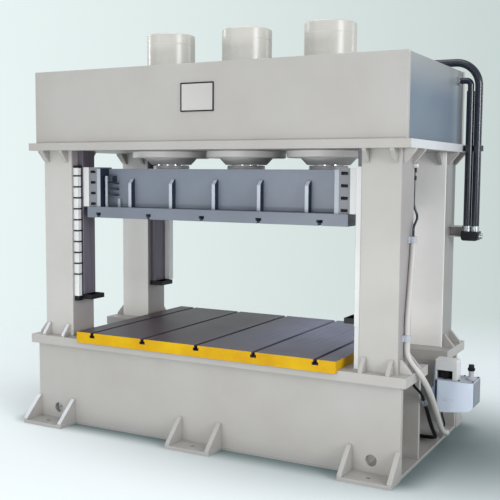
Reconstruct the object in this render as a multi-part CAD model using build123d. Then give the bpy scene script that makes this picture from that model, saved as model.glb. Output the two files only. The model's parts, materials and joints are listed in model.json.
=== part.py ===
from build123d import *
import os
from math import pi, radians, tan

os.makedirs("parts", exist_ok=True)

# Four-upright hydraulic press with three cylinders in a row.
# X runs left to right, the front faces -Y, Z is up and zero is the floor, in millimetres.

# Frame in plan
plate_w = 3000.0
plate_d = 1406.0
plate_lip = 40.0

# Base
table_plate_t = 65.0
base_wall_h = 580.0
base_wall_t = 40.0
floor_plate_t = 20.0
cross_wall_t = 30.0
cross_wall_pitch = 600.0
end_recess = 260.0
end_rib_y = 240.0
end_rib_t = 30.0
end_rib_setback = 10.0
notch_clear = 10.0
bar_hole_d = 78.0
bar_hole_inset = 190.0
bar_hole_z = 103.0

# Feet
corner_foot_w = 357.0
middle_foot_w = 350.0
foot_reach = 177.0
foot_plate_t = 25.0
foot_outset = 7.0
foot_web_t = 30.0
foot_web_h = 165.0
web_toe = 12.0
anchor_hole_d = 36.0
anchor_reach = 95.0

# Bolster
bolster_side_gap = 111.0
bolster_d = 1440.0
bolster_t = 81.0
pocket_depth = 20.0
pocket_clear = 0.5
bolster_edge = 3.0

# Slots for clamping bolts
slot_pitch = 450.0
slot_throat_w = 28.0
slot_throat_h = 18.0
slot_head_w = 46.0
slot_head_h = 20.0

# Uprights
upright_inset_x = 79.0
upright_inset_y = 81.0
upright_w = 266.0
upright_d = 253.0
upright_h = 1408.0
upright_wall = 25.0
upright_corner_r = 8.0
brace_offset = 91.0
brace_t = 25.0
brace_reach = 78.0
brace_h = 90.0

# Crown
crown_flange_t = 55.0
crown_wall_h = 531.0
crown_wall_t = 40.0
crown_end_t = 40.0
crown_end_setback = 12.0
crown_top_t = 45.0
crown_rib_t = 30.0

# Cylinders
cyl_pitch = 670.0
barrel_d = 372.0
bore_d = 280.0
barrel_seat_clear = 0.3
barrel_rise = 231.0
barrel_flange_d = 600.0
barrel_flange_t = 49.0
barrel_chamfer = 8.0
gland_d = 304.0
gland_h = 116.0
gland_nose_h = 49.0
gland_nose_high_d = 404.0
gland_nose_low_d = 310.0
seal_clear = 0.1
cap_t = 79.0
cap_chamfer = 8.0
cap_spigot_h = 20.0
cap_spigot_clear = 0.2
piston_h = 150.0
piston_clear = 0.05
piston_top_gap = 5.0
rod_d = 220.0
rod_clear = 0.05
rod_nose_d = 160.0
rod_collar_d = 250.0
rod_collar_h = 14.0
rod_flange_d = 282.0
rod_flange_t = 30.0
rod_flange_chamfer = 5.0
rest_gap = 5.0

# Slide
slide_side_gap = 105.0
slide_plate_d = 1138.0
slide_plate_t = 80.0
slide_body_h = 285.0
slide_slot_shift = -48.0
slide_end_t = 30.0
beam_d = 880.0
beam_wall_t = 30.0
beam_top_t = 40.0
beam_rib_t = 30.0
slide_web_count = 5
slide_web_inset = 255.0
slide_web_t = 26.0
slide_web_h = 210.0
slide_web_reach = 45.0
stiffener_count = 3
stiffener_pitch = 44.0
stiffener_first_z = 82.0
stiffener_t = 10.0
stiffener_len = 95.0
stiffener_reach = 60.0
pocket_box_len = 75.0
pocket_box_h = 40.0
pocket_box_z = 190.0
post_w = 15.0
post_h = 230.0
post_in = 22.0
stub_w = 20.0
stub_h = 62.0
stub_in = 96.0

# Guides
rail_t = 50.0
rail_w = 140.0
rail_len = 1089.0
rail_offset = 15.5
rail_edge = 4.0
guide_clear = 0.2
guide_room = 130.0
shoe_setback = 3.0
shoe_t = 78.0
shoe_h = 295.0
shoe_lip_w = 44.0
shoe_lip_over = 40.0
adjuster_count = 4
adjuster_pitch = 80.0
adjuster_first_z = 22.0
adjuster_slot_w = 50.0
adjuster_slot_h = 22.0
adjuster_slot_depth = 25.0
adjuster_d = 12.0
tray_drop = 1.0
tray_h = 35.0
tray_w = 160.0
tray_reach = 125.0
tray_wall = 4.0

# Light curtains on the front uprights and guard posts on the back ones
curtain_w = 40.0
curtain_d = 42.0
curtain_inset = 41.0
curtain_len = 1020.0
curtain_drop = 113.0
duct_w = 36.0
guard_w = 95.0
guard_d = 60.0
guard_setback = 2.0

# Hose bundle at the right
hose_d = 55.5
hose_pitch = 58.0
hose_out = 46.0
hose_inset_y = 163.0
hose_arch_z = 51.0
port_block_inset = 308.0
port_block_w = 90.0
port_block_h = 84.0
collar_d = 57.2
collar_h = 38.0
elbow_d = 44.0
elbow_drop = 79.0
elbow_nut_d = 62.0
elbow_nut_h = 24.0
manifold_z = 1440.0
manifold_w = 120.0
manifold_d = 100.0
manifold_h = 66.0
manifold_corner_r = 20.0
manifold_port_d = 30.0
manifold_port_h = 28.0
manifold_plug_d = 44.0
manifold_plug_h = 20.0
bracket_w = 80.0
bracket_wall = 8.0
clamp_h = 40.0
clamp_d = 48.0
clamp_hose_gap = 0.3

# Lubricator
lube_plate_t = 8.0
lube_plate_w = 200.0
lube_plate_h = 290.0
lube_plate_y = 75.0
lube_plate_z = 300.0
lube_shelf_w = 110.0
lube_shelf_h = 90.0
lube_shelf_z = 360.0
tank_w = 260.0
tank_d = 190.0
tank_h = 222.0
tank_wall = 4.0
tank_corner = 36.0
tank_floor_flat = 60.0
tank_floor_rise = 22.0
tank_edge_r = 10.0
tank_gap = 12.0
tank_z = 270.0
tank_y = 80.0
lid_t = 8.0
head_w = 150.0
head_d = 100.0
head_h = 137.0
head_edge_r = 12.0
mouth_w = 112.0
mouth_h = 62.0
mouth_depth = 55.0
pump_d = 50.0
filler_d = 64.0
filler_foot_h = 12.0
filler_stem_d = 36.0
filler_h = 62.0
filler_in = 44.0
neck_d = 24.0
neck_h = 20.0
cap_d = 46.0
cap_h = 42.0
cap_rim_h = 12.0
cap_rim = 4.0
cap_seat = 0.3

# Conduit, cable and small hoses at the right
conduit_d = 38.0
conduit_lean = 80.0
conduit_clip_h = 42.0
conduit_clip_t = 6.0
conduit_clip_gap = 0.3
clip_foot = 24.0
clip_in = 62.0
clip_rise = 835.0
foot_clip_rise = 215.0
conduit_sway = 58.0
conduit_sway_rise = 455.0
conduit_bend_rise = 335.0
conduit_foot_rise = 90.0
conduit_clip_run = 62.0
cable_turn_y = 12.0
cable_bends = [190.0, 120.0, 60.0]
conduit_end_y = 400.0
cable_d = 16.0
cable_drop = 119.0
cleat_w = 26.0
cleat_h = 30.0
cleat_gap = 20.0
drain_pipe_d = 18.0
drain_d = 26.0
drain_end_y = 190.0
coupling_d = 36.0
coupling_len = 62.0
lube_hose_d = 12.0
lube_end_y = 326.0
lube_end_z = 62.0
gland_nut_h = 22.0
gland_nut_wall = 9.0

# Routes past the right-hand end: (distance out from the table plate's end, y, z)
conduit_route = [(30.0, -500.0, 655.0), (44.0, -400.0, 560.0), (38.0, -250.0, 445.0), (30.0, -95.0, 292.0),
                 (22.0, 60.0, 140.0), (14.0, 240.0, 74.0), (-40.0, 380.0, 55.0)]
drain_pipe_out = -48.0
drain_pipe_y = -392.0
drain_pipe_run = 48.0
coupling_top_at = (-20.0, -260.0, 437.0)
drain_hose_route = [(-20.0, -112.0, 268.0), (-22.0, -40.0, 190.0), (-26.0, 45.0, 120.0),
                    (-40.0, 125.0, 72.0), (-85.0, 178.0, 48.0)]
lube_hose_route = [(0.0, 130.0, tank_z), (0.0, 130.0, 240.0), (-3.0, 186.0, 190.0), (-9.0, 248.0, 135.0),
                   (-36.0, 295.0, 94.0), (-100.0, 321.0, 72.0)]
wall_entry = 125.0

# Heights and faces that follow from the sizes above
base_wall_z = floor_plate_t
base_top_z = base_wall_z + base_wall_h + table_plate_t
table_under_z = base_top_z - table_plate_t
box_w = plate_w - 2 * plate_lip
box_d = plate_d - 2 * plate_lip
bolster_z = base_top_z - pocket_depth
bolster_top_z = bolster_z + bolster_t
crown_z = base_top_z + upright_h
crown_box_z = crown_z + crown_flange_t
crown_top_z = crown_box_z + crown_wall_h
slide_top_z = crown_z - barrel_flange_t - gland_nose_h - rest_gap - rod_flange_t
slide_body_z = slide_top_z - slide_body_h
slide_z = slide_body_z - slide_plate_t
bar_hole_x = box_w / 2 - bar_hole_inset
upright_x = plate_w / 2 - upright_inset_x - upright_w / 2
upright_y = plate_d / 2 - upright_inset_y - upright_d / 2
upright_in_x = upright_x - upright_w / 2
upright_out_x = upright_x + upright_w / 2
upright_in_y = upright_y - upright_d / 2
upright_out_y = upright_y + upright_d / 2
end_wall_x = box_w / 2 - end_recess
bolster_w = 2 * (upright_in_x - bolster_side_gap)
rail_face_x = upright_in_x - rail_t
rail_y = upright_y - rail_offset
slide_plate_w = 2 * (upright_in_x - slide_side_gap)
slide_end_x = rail_face_x - guide_room
shoe_front_y = rail_y + rail_w / 2 - shoe_setback
hose_x = plate_w / 2 + hose_out
hose_y = box_d / 2 - hose_inset_y
cyl_x = [-cyl_pitch, 0.0, cyl_pitch]


def save(name, *shapes):
    solids = [solid for shape in shapes for solid in shape.solids()]
    export_step(Compound(solids), "parts/" + name + ".step")


def block(x0, x1, y0, y1, z0, z1):
    return Pos((x0 + x1) / 2, (y0 + y1) / 2, (z0 + z1) / 2) * Box(x1 - x0, y1 - y0, z1 - z0)


def left_right(shapes):
    return shapes + [mirror(shape, about=Plane.YZ) for shape in shapes]


def front_back(shapes):
    return shapes + [mirror(shape, about=Plane.XZ) for shape in shapes]


def stand(flat, origin, out, up):
    # Sets a shape drawn flat so that its x runs along out and its y along up.
    across = Vector(*out).cross(Vector(*up))
    return Plane(origin=origin, x_dir=out, z_dir=across) * flat


def web(reach, rise, toe, thick):
    # Triangular plate with blunt toes, its square corner at the origin.
    outline = Polyline((0, 0), (reach, 0), (reach, toe), (toe, rise), (0, rise), close=True)
    return extrude(make_face(outline), amount=thick / 2, both=True)


def turned(outline):
    # Solid of revolution about Z from a closed outline of (radius, height) points.
    face = make_face(Polyline(*[(r, 0, z) for r, z in outline], close=True))
    return revolve(face, axis=Axis.Z)


def slot_outline(depth_to_face, opens):
    # T outline across a plate, from the face it opens to; opens is 1 upwards and -1 downwards.
    throat_mid = depth_to_face - opens * slot_throat_h / 2
    head_mid = depth_to_face - opens * (slot_throat_h + slot_head_h / 2)
    return (Pos(0, throat_mid) * Rectangle(slot_throat_w, slot_throat_h)
            + Pos(0, head_mid) * Rectangle(slot_head_w, slot_head_h))


def past_end(route):
    # Route points whose first number is measured outwards from the table plate's right-hand end.
    return [(plate_w / 2 + out, y, z) for out, y, z in route]


def slotted_plate(width, depth, low, high, opens, edge, shift=0.0):
    # Plate whose T slots run front to back, drawn across its front and drawn out to its depth.
    section = Pos(0, (low + high) / 2) * Rectangle(width, high - low)
    section = chamfer(section.vertices(), edge)
    count = int((width / 2 - slot_head_w) // slot_pitch)
    for step in range(-count, count + 1):
        section -= Pos(step * slot_pitch + shift, 0) * slot_outline(high if opens > 0 else low, opens)
    return extrude(Plane.XZ.offset(depth / 2) * section, amount=-depth)


def tube_along(points, dia, name):
    # Round run of straight stretches joined by arcs as large as the stretches allow.
    spots = [Vector(*point) for point in points]
    radii = []
    for before, corner, after in zip(spots, spots[1:], spots[2:]):
        turn = (corner - before).get_angle(after - corner)
        short = min((corner - before).length, (after - corner).length)
        radii.append(0.45 * short / tan(radians(turn / 2)))
    path = FilletPolyline(*spots, radius=radii) if radii else Line(*spots)
    start = Plane(origin=path @ 0, z_dir=path % 0)
    solid = sweep(start * Circle(dia / 2), path=path)
    full = pi * dia * dia / 4 * path.length
    print(name, "arc radii", [round(r) for r in radii], "length", round(path.length),
          "volume share", round(solid.volume / full, 4))
    return solid


def gland_nut(dia, at, along):
    # Ring nut round a tube's end, standing on the face at the given point.
    ring = Circle(dia / 2 + gland_nut_wall) - Circle(dia / 2 + conduit_clip_gap)
    return Plane(origin=at, z_dir=along) * extrude(ring, amount=gland_nut_h)


# Base box: floor plate, long walls with bar holes, cross walls and the ribs of the open ends
floor_plate = block(-box_w / 2, box_w / 2, -box_d / 2, box_d / 2, 0, floor_plate_t)
save("base_floor_plate", floor_plate)

wall_face = Pos(0, base_wall_z + base_wall_h / 2) * Rectangle(box_w, base_wall_h)
for side in (-1, 1):
    wall_face -= Pos(side * bar_hole_x, bar_hole_z) * Circle(bar_hole_d / 2)
long_wall = extrude(Plane.XZ.offset(box_d / 2) * wall_face, amount=-base_wall_t)
save("base_long_walls", *front_back([long_wall]))

inner_y = box_d / 2 - base_wall_t
end_wall = block(end_wall_x - cross_wall_t, end_wall_x, -inner_y, inner_y, base_wall_z, table_under_z)
cross_wall = block(-cross_wall_t / 2, cross_wall_t / 2, -inner_y, inner_y, base_wall_z, table_under_z)
save("base_cross_walls", *left_right([end_wall, Pos(cross_wall_pitch, 0, 0) * cross_wall]), cross_wall)

end_rib = block(end_wall_x, box_w / 2 - end_rib_setback, -end_rib_y - end_rib_t / 2,
                -end_rib_y + end_rib_t / 2, base_wall_z, table_under_z)
save("base_end_ribs", *front_back(left_right([end_rib])))

# Table plate with the bolster's seat pocket and a notch in each end
table_plate = block(-plate_w / 2, plate_w / 2, -plate_d / 2, plate_d / 2, table_under_z, base_top_z)
pocket_half = bolster_w / 2 + pocket_clear
table_plate -= block(-pocket_half, pocket_half, -plate_d / 2, plate_d / 2, bolster_z, base_top_z)
notch_x = end_wall_x + notch_clear
notch = block(notch_x, plate_w / 2, -end_rib_y, end_rib_y, table_under_z, base_top_z)
for cut in left_right([notch]):
    table_plate -= cut
save("base_table_plate", table_plate)

# Feet: plates with anchor holes against the base walls, and webs along their side edges
corner_foot_out = box_w / 2 + foot_outset
corner_foot_x = corner_foot_out - corner_foot_w / 2
anchor_y = box_d / 2 + anchor_reach


def foot_plate(x, width):
    plate = block(x - width / 2, x + width / 2, -box_d / 2 - foot_reach, -box_d / 2, 0, foot_plate_t)
    return plate - Pos(x, -anchor_y, foot_plate_t / 2) * Cylinder(anchor_hole_d / 2, foot_plate_t)


def foot_webs(x, width):
    flat = web(foot_reach, foot_web_h, web_toe, foot_web_t)
    inset = width / 2 - foot_web_t / 2
    return [stand(flat, (x + side * inset, -box_d / 2, foot_plate_t), (0, -1, 0), (0, 0, 1))
            for side in (-1, 1)]


save("foot_plates", *front_back(left_right([foot_plate(corner_foot_x, corner_foot_w)])
                                + [foot_plate(0, middle_foot_w)]))
save("foot_webs", *front_back(left_right(foot_webs(corner_foot_x, corner_foot_w))
                              + foot_webs(0, middle_foot_w)))

# Bolster with T slots front to back
bolster = slotted_plate(bolster_w, bolster_d, bolster_z, bolster_top_z, 1, bolster_edge)
save("bolster", bolster)

# Uprights: box sections between the table plate and the crown flange
upright_face = RectangleRounded(upright_w, upright_d, upright_corner_r)
upright_face -= Rectangle(upright_w - 2 * upright_wall, upright_d - 2 * upright_wall)
upright = Pos(upright_x, -upright_y, base_top_z) * extrude(upright_face, amount=upright_h)
save("upright_front_right", upright)
save("upright_front_left", mirror(upright, about=Plane.YZ))
save("upright_back_right", mirror(upright, about=Plane.XZ))
save("upright_back_left", mirror(mirror(upright, about=Plane.XZ), about=Plane.YZ))

# Braces at the foot and the head of each upright
brace = web(brace_reach, brace_h, web_toe, brace_t)


def braces(z, up, inner):
    made = []
    for side in (-1, 1):
        shift = side * brace_offset
        made.append(stand(brace, (upright_x + shift, -upright_out_y, z), (0, -1, 0), up))
        made.append(stand(brace, (upright_out_x, -upright_y + shift, z), (1, 0, 0), up))
        if inner:
            made.append(stand(brace, (upright_x + shift, -upright_in_y, z), (0, 1, 0), up))
    return front_back(left_right(made))


save("upright_foot_braces", *braces(base_top_z, (0, 0, 1), False))
save("upright_head_braces", *braces(crown_z, (0, 0, -1), True))

# Crown: bored flange, long walls, set-back end walls, ribs between the cylinders and top plate
seat_r = barrel_d / 2 + barrel_seat_clear
bores = Sketch() + [Pos(x, 0) * Circle(seat_r) for x in cyl_x]
crown_flange = Pos(0, 0, crown_z) * extrude(Rectangle(plate_w, plate_d) - bores, amount=crown_flange_t)
save("crown_flange", crown_flange)

crown_in_y = box_d / 2 - crown_wall_t
crown_wall = block(-box_w / 2, box_w / 2, -box_d / 2, -crown_in_y, crown_box_z, crown_top_z)
save("crown_long_walls", *front_back([crown_wall]))

crown_end_x = box_w / 2 - crown_end_setback
crown_end = block(crown_end_x - crown_end_t, crown_end_x, -crown_in_y, crown_in_y, crown_box_z, crown_top_z)

crown_top_w = 2 * (crown_end_x - crown_end_t)
crown_top_under_z = crown_top_z - crown_top_t
top_face = Rectangle(crown_top_w, 2 * crown_in_y) - bores
save("crown_top_plate", Pos(0, 0, crown_top_under_z) * extrude(top_face, amount=crown_top_t))

crown_rib = block(-crown_rib_t / 2, crown_rib_t / 2, -crown_in_y, crown_in_y, crown_box_z, crown_top_under_z)
rib_x = [cyl_pitch / 2, 1.5 * cyl_pitch]
save("crown_cross_walls", *left_right([crown_end] + [Pos(x, 0, 0) * crown_rib for x in rib_x]))

# Cylinders: flanged barrels drawn up against the crown flange, capped above, with tapered glands below
barrel_low_z = crown_z - barrel_flange_t
barrel_top_z = crown_top_z + barrel_rise
gland_top_z = barrel_low_z + gland_h
gland_nose_z = barrel_low_z - gland_nose_h
barrel = turned([
    (gland_d / 2, barrel_low_z), (barrel_flange_d / 2 - barrel_chamfer, barrel_low_z),
    (barrel_flange_d / 2, barrel_low_z + barrel_chamfer), (barrel_flange_d / 2, crown_z),
    (barrel_d / 2, crown_z), (barrel_d / 2, barrel_top_z), (bore_d / 2, barrel_top_z),
    (bore_d / 2, gland_top_z), (gland_d / 2, gland_top_z)])
save("cylinder_barrels", *[Pos(x, 0, 0) * barrel for x in cyl_x])

gland_out_r = gland_d / 2 - seal_clear
gland_in_r = rod_d / 2 + rod_clear
gland = turned([(gland_in_r, gland_nose_z), (gland_nose_low_d / 2, gland_nose_z),
                (gland_nose_high_d / 2, barrel_low_z), (gland_out_r, barrel_low_z),
                (gland_out_r, gland_top_z), (gland_in_r, gland_top_z)])
save("cylinder_glands", *[Pos(x, 0, 0) * gland for x in cyl_x])

spigot_r = bore_d / 2 - cap_spigot_clear
spigot_z = barrel_top_z - cap_spigot_h
cap_z = barrel_top_z + cap_t
cap = turned([(0, spigot_z), (spigot_r, spigot_z), (spigot_r, barrel_top_z), (barrel_d / 2, barrel_top_z),
              (barrel_d / 2, cap_z - cap_chamfer), (barrel_d / 2 - cap_chamfer, cap_z), (0, cap_z)])
save("cylinder_caps", *[Pos(x, 0, 0) * cap for x in cyl_x])

# Pistons and rods, seated on the slide's top face through bolted rod flanges
piston_top_z = spigot_z - piston_top_gap
piston_z = piston_top_z - piston_h
piston_r = bore_d / 2 - piston_clear
nose_r = rod_nose_d / 2
piston = turned([(nose_r + rod_clear, piston_z), (piston_r, piston_z),
                 (piston_r, piston_top_z), (nose_r + rod_clear, piston_top_z)])
save("pistons", *[Pos(x, 0, 0) * piston for x in cyl_x])

collar_z = slide_top_z + rod_collar_h
rod = turned([(0, slide_top_z), (rod_collar_d / 2, slide_top_z), (rod_collar_d / 2, collar_z),
              (rod_d / 2, collar_z), (rod_d / 2, piston_z), (nose_r, piston_z),
              (nose_r, piston_top_z), (0, piston_top_z)])
save("piston_rods", *[Pos(x, 0, 0) * rod for x in cyl_x])

flange_in_r = rod_d / 2 + seal_clear
flange_low_r = rod_collar_d / 2 + seal_clear
flange_top_z = slide_top_z + rod_flange_t
flange_r = rod_flange_d / 2
rod_flange = turned([(flange_low_r, slide_top_z), (flange_r, slide_top_z),
                     (flange_r, flange_top_z - rod_flange_chamfer),
                     (flange_r - rod_flange_chamfer, flange_top_z), (flange_in_r, flange_top_z),
                     (flange_in_r, collar_z), (flange_low_r, collar_z)])
save("rod_flanges", *[Pos(x, 0, 0) * rod_flange for x in cyl_x])

# Slide: slotted bottom plate, ribbed beam open below, end plates and webs
slide_plate = slotted_plate(slide_plate_w, slide_plate_d, slide_z, slide_body_z, -1, bolster_edge,
                            slide_slot_shift)
save("slide_plate", slide_plate)

beam_half = slide_end_x - slide_end_t
beam_section = Pos(0, (slide_body_z + slide_top_z) / 2) * Rectangle(beam_d, slide_body_h)
beam_room_h = slide_body_h - beam_top_t
beam_section -= Pos(0, slide_body_z + beam_room_h / 2) * Rectangle(beam_d - 2 * beam_wall_t, beam_room_h)
beam = extrude(Plane.YZ.offset(-beam_half) * beam_section, amount=2 * beam_half)
beam_rib = block(-beam_rib_t / 2, beam_rib_t / 2, -beam_d / 2 + beam_wall_t, beam_d / 2 - beam_wall_t,
                 slide_body_z, slide_top_z - beam_top_t)
for x in cyl_x:
    beam += Pos(x, 0, 0) * beam_rib
for rib in left_right([Pos(cyl_pitch / 2, 0, 0) * beam_rib]):
    beam += rib
save("slide_beam", beam)

slide_end = block(beam_half, slide_end_x, -shoe_front_y, shoe_front_y, slide_body_z, slide_top_z)
save("slide_end_plates", *left_right([slide_end]))

bar_shoulder = slide_web_h - slide_web_reach + web_toe
bar_outline = Polyline((0, 0), (slide_web_reach, 0), (slide_web_reach, bar_shoulder),
                       (web_toe, slide_web_h), (0, slide_web_h), close=True)
slide_web = extrude(make_face(bar_outline), amount=slide_web_t / 2, both=True)
slide_web_pitch = 2 * (slide_end_x - slide_web_inset) / (slide_web_count - 1)
web_x = [(step - (slide_web_count - 1) / 2) * slide_web_pitch for step in range(slide_web_count)]
save("slide_webs", *front_back([stand(slide_web, (x, -beam_d / 2, slide_body_z), (0, -1, 0), (0, 0, 1))
                                for x in web_x]))

# Left pocket of the slide: thin stiffeners under a box, and the posts in front of them
panel_y = -beam_d / 2
stiffener_y = panel_y - stiffener_reach
stiffener_z = [slide_body_z + stiffener_first_z + step * stiffener_pitch for step in range(stiffener_count)]
stiffeners = [block(-beam_half, -beam_half + stiffener_len, stiffener_y, panel_y, z, z + stiffener_t)
              for z in stiffener_z]
box_z = slide_body_z + pocket_box_z
pocket_box = block(-beam_half, -beam_half + pocket_box_len, stiffener_y, panel_y, box_z, box_z + pocket_box_h)
save("slide_stiffeners", *stiffeners, pocket_box)
post_x = -beam_half + post_in
stub_x = -beam_half + stub_in
save("pocket_posts", block(post_x, post_x + post_w, stiffener_y - post_w, stiffener_y, slide_body_z,
                           slide_body_z + post_h),
     block(stub_x, stub_x + stub_w, panel_y - stub_w, panel_y, slide_body_z, slide_body_z + stub_h))

# Guides: rails on the uprights' inner faces, lipped shoes and gibs on the slide's ends
rail_low_z = crown_z - rail_len
rail_section = Pos(upright_in_x - rail_t / 2, -rail_y) * Rectangle(rail_t, rail_w)
rail_section = chamfer(rail_section.vertices().group_by(Axis.X)[0], rail_edge)
rail = Pos(0, 0, rail_low_z) * extrude(rail_section, amount=rail_len)
save("guide_rails", *front_back(left_right([rail])))

shoe_out_x = slide_end_x + shoe_t
rail_in_y = rail_y - rail_w / 2
lip_y = rail_in_y - guide_clear
lip_low_y = lip_y - shoe_lip_w
lip_x = rail_face_x + shoe_lip_over
shoe_outline = Polyline((slide_end_x, -shoe_front_y), (shoe_out_x, -shoe_front_y), (shoe_out_x, -lip_y),
                        (lip_x, -lip_y), (lip_x, -lip_low_y), (slide_end_x, -lip_low_y), close=True)
shoe = Pos(0, 0, slide_body_z) * extrude(make_face(shoe_outline), amount=shoe_h)
slot_x = slide_end_x + (shoe_t - adjuster_slot_w) / 2
adjusters = []
for step in range(adjuster_count):
    z = slide_body_z + adjuster_first_z + step * adjuster_pitch
    shoe -= block(slot_x, slot_x + adjuster_slot_w, -shoe_front_y, -shoe_front_y + adjuster_slot_depth,
                  z - adjuster_slot_h / 2, z + adjuster_slot_h / 2)
    screw_y = -shoe_front_y + adjuster_slot_depth / 2
    screw = Rot(0, 90, 0) * Cylinder(adjuster_d / 2, adjuster_slot_w)
    adjusters.append(Pos(slot_x + adjuster_slot_w / 2, screw_y, z) * screw)
save("guide_shoes", *front_back(left_right([shoe])))
save("gib_adjusters", *front_back(left_right(adjusters)))

gib = block(shoe_out_x, rail_face_x - guide_clear, -shoe_front_y, -lip_y, slide_body_z, slide_body_z + shoe_h)
save("guide_gibs", *front_back(left_right([gib])))

# Drip trays under the rails
tray_top_z = rail_low_z - tray_drop
tray = block(upright_in_x - tray_reach, upright_in_x, -rail_y - tray_w / 2, -rail_y + tray_w / 2,
             tray_top_z - tray_h, tray_top_z)
tray -= block(upright_in_x - tray_reach + tray_wall, upright_in_x - tray_wall,
              -rail_y - tray_w / 2 + tray_wall, -rail_y + tray_w / 2 - tray_wall,
              tray_top_z - tray_h + tray_wall, tray_top_z)
save("drip_trays", *front_back(left_right([tray])))

# Light curtains and the duct below the right-hand one
curtain_top_z = crown_z - curtain_drop
curtain_low_z = curtain_top_z - curtain_len
curtain_y = upright_out_y - curtain_inset
curtain = block(upright_in_x - curtain_w, upright_in_x, -curtain_y - curtain_d / 2,
                -curtain_y + curtain_d / 2, curtain_low_z, curtain_top_z)
curtain = chamfer(curtain.edges().filter_by(Axis.Z).group_by(Axis.X)[0], rail_edge)
duct = block(upright_in_x - duct_w, upright_in_x, -curtain_y - duct_w / 2, -curtain_y + duct_w / 2,
             base_top_z, curtain_low_z)
guard_back_y = upright_out_y - guard_setback
guard = block(upright_in_x - guard_w, upright_in_x, guard_back_y - guard_d, guard_back_y,
              tray_top_z, curtain_top_z)
guard = chamfer(guard.edges().filter_by(Axis.Z).group_by(Axis.X)[0], rail_edge)
save("light_curtains", *left_right([curtain, guard]), duct)

# Hose bundle: crown port and elbow, two hoses down to the manifold on its bracket
outer_x = hose_x + hose_pitch
hose_low_z = manifold_z + manifold_h
arch_z = crown_top_z + hose_arch_z
port_block_x = crown_end_x - port_block_inset
port_x = port_block_x + port_block_w / 2
port_block = block(port_block_x - port_block_w / 2, port_x, hose_y - port_block_w / 2,
                   hose_y + port_block_w / 2, crown_top_z, crown_top_z + port_block_h)
port_block = chamfer(port_block.edges().group_by(Axis.Z)[-1], rail_edge)
save("crown_port_block", port_block)

collar_ring = Circle(collar_d / 2)
port_collar = Plane(origin=(port_x, hose_y, arch_z), z_dir=(1, 0, 0)) * extrude(collar_ring, amount=collar_h)
manifold_collars = [Pos(x, hose_y, hose_low_z) * extrude(collar_ring, amount=collar_h)
                    for x in (hose_x, outer_x)]

outer_hose = tube_along([(port_x + collar_h, hose_y, arch_z), (outer_x, hose_y, arch_z),
                         (outer_x, hose_y, hose_low_z + collar_h)], hose_d, "outer_hose")
save("outer_hose", outer_hose)

elbow_z = crown_top_z - elbow_drop
elbow_nut = Plane(origin=(crown_end_x, hose_y, elbow_z), z_dir=(1, 0, 0)) * extrude(
    RegularPolygon(elbow_nut_d / 2, 6), amount=elbow_nut_h)
save("hose_fittings", port_collar, *manifold_collars, elbow_nut)
elbow_run = hose_x - crown_end_x - elbow_nut_h
elbow = tube_along([(crown_end_x + elbow_nut_h, hose_y, elbow_z), (hose_x, hose_y, elbow_z),
                    (hose_x, hose_y, elbow_z - elbow_run)], elbow_d, "port_elbow")
save("port_elbow", elbow)
inner_hose = tube_along([(hose_x, hose_y, elbow_z - elbow_run), (hose_x, hose_y, hose_low_z + collar_h)],
                        hose_d, "inner_hose")
save("inner_hose", inner_hose)

manifold_x = (hose_x + outer_x) / 2
manifold = block(manifold_x - manifold_w / 2, manifold_x + manifold_w / 2, hose_y - manifold_d / 2,
                 hose_y + manifold_d / 2, manifold_z, hose_low_z)
manifold = fillet(manifold.edges().filter_by(Axis.Y).group_by(Axis.Z)[0], manifold_corner_r)
for x in (hose_x, outer_x):
    port_face = Plane(origin=(x, hose_y + manifold_d / 2, manifold_z + manifold_h / 2), z_dir=(0, -1, 0))
    manifold -= port_face * extrude(Circle(manifold_port_d / 2), amount=manifold_port_h)
save("manifold_block", manifold)
plug_at = (manifold_x + manifold_w / 2, hose_y, manifold_z + manifold_h / 2)
save("manifold_plug", Plane(origin=plug_at, z_dir=(1, 0, 0)) * extrude(Circle(manifold_plug_d / 2),
                                                                       amount=manifold_plug_h))

bracket_out_x = manifold_x - manifold_w / 2
bracket_high_z = hose_low_z + collar_h
bracket_low_z = bracket_high_z - bracket_w
channel = Rectangle(bracket_w, bracket_w)
channel -= Pos(bracket_wall, 0) * Rectangle(bracket_w, bracket_w - 2 * bracket_wall)
bracket = Plane(origin=(upright_out_x, hose_y, (bracket_high_z + bracket_low_z) / 2), x_dir=(0, -1, 0),
                z_dir=(-1, 0, 0)) * extrude(channel, amount=-(bracket_out_x - upright_out_x))
save("manifold_bracket", bracket)

clamp_z = crown_z + (crown_flange_t - clamp_h) / 2
clamp_low_y = hose_y + hose_d / 4
clamp = block(plate_w / 2, outer_x + hose_d / 2, clamp_low_y, clamp_low_y + clamp_d,
              clamp_z, clamp_z + clamp_h)
for x in (hose_x, outer_x):
    clamp -= Pos(x, hose_y, clamp_z + clamp_h / 2) * Cylinder(hose_d / 2 + clamp_hose_gap, clamp_h)
save("hose_clamp", clamp)

# Lubricator on a plate against the rib of the right-hand end
rib_face_x = box_w / 2 - end_rib_setback
plate_out_x = rib_face_x + lube_plate_t
plate_front_y = lube_plate_y
plate_back_y = plate_front_y + lube_plate_w
lube_outline = Polyline((plate_front_y - lube_shelf_w, lube_shelf_z), (plate_front_y, lube_shelf_z),
                        (plate_front_y, lube_plate_z), (plate_back_y, lube_plate_z),
                        (plate_back_y, lube_plate_z + lube_plate_h),
                        (plate_front_y, lube_plate_z + lube_plate_h),
                        (plate_front_y, lube_shelf_z + lube_shelf_h),
                        (plate_front_y - lube_shelf_w, lube_shelf_z + lube_shelf_h), close=True)
lube_plate = extrude(Plane.YZ.offset(rib_face_x) * make_face(lube_outline), amount=lube_plate_t)
shelf = block(rib_face_x - end_rib_t, rib_face_x, plate_front_y - lube_shelf_w, plate_front_y,
              lube_shelf_z + lube_shelf_h - lube_plate_t, lube_shelf_z + lube_shelf_h)
save("lubricator_bracket", lube_plate + shelf)

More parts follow.
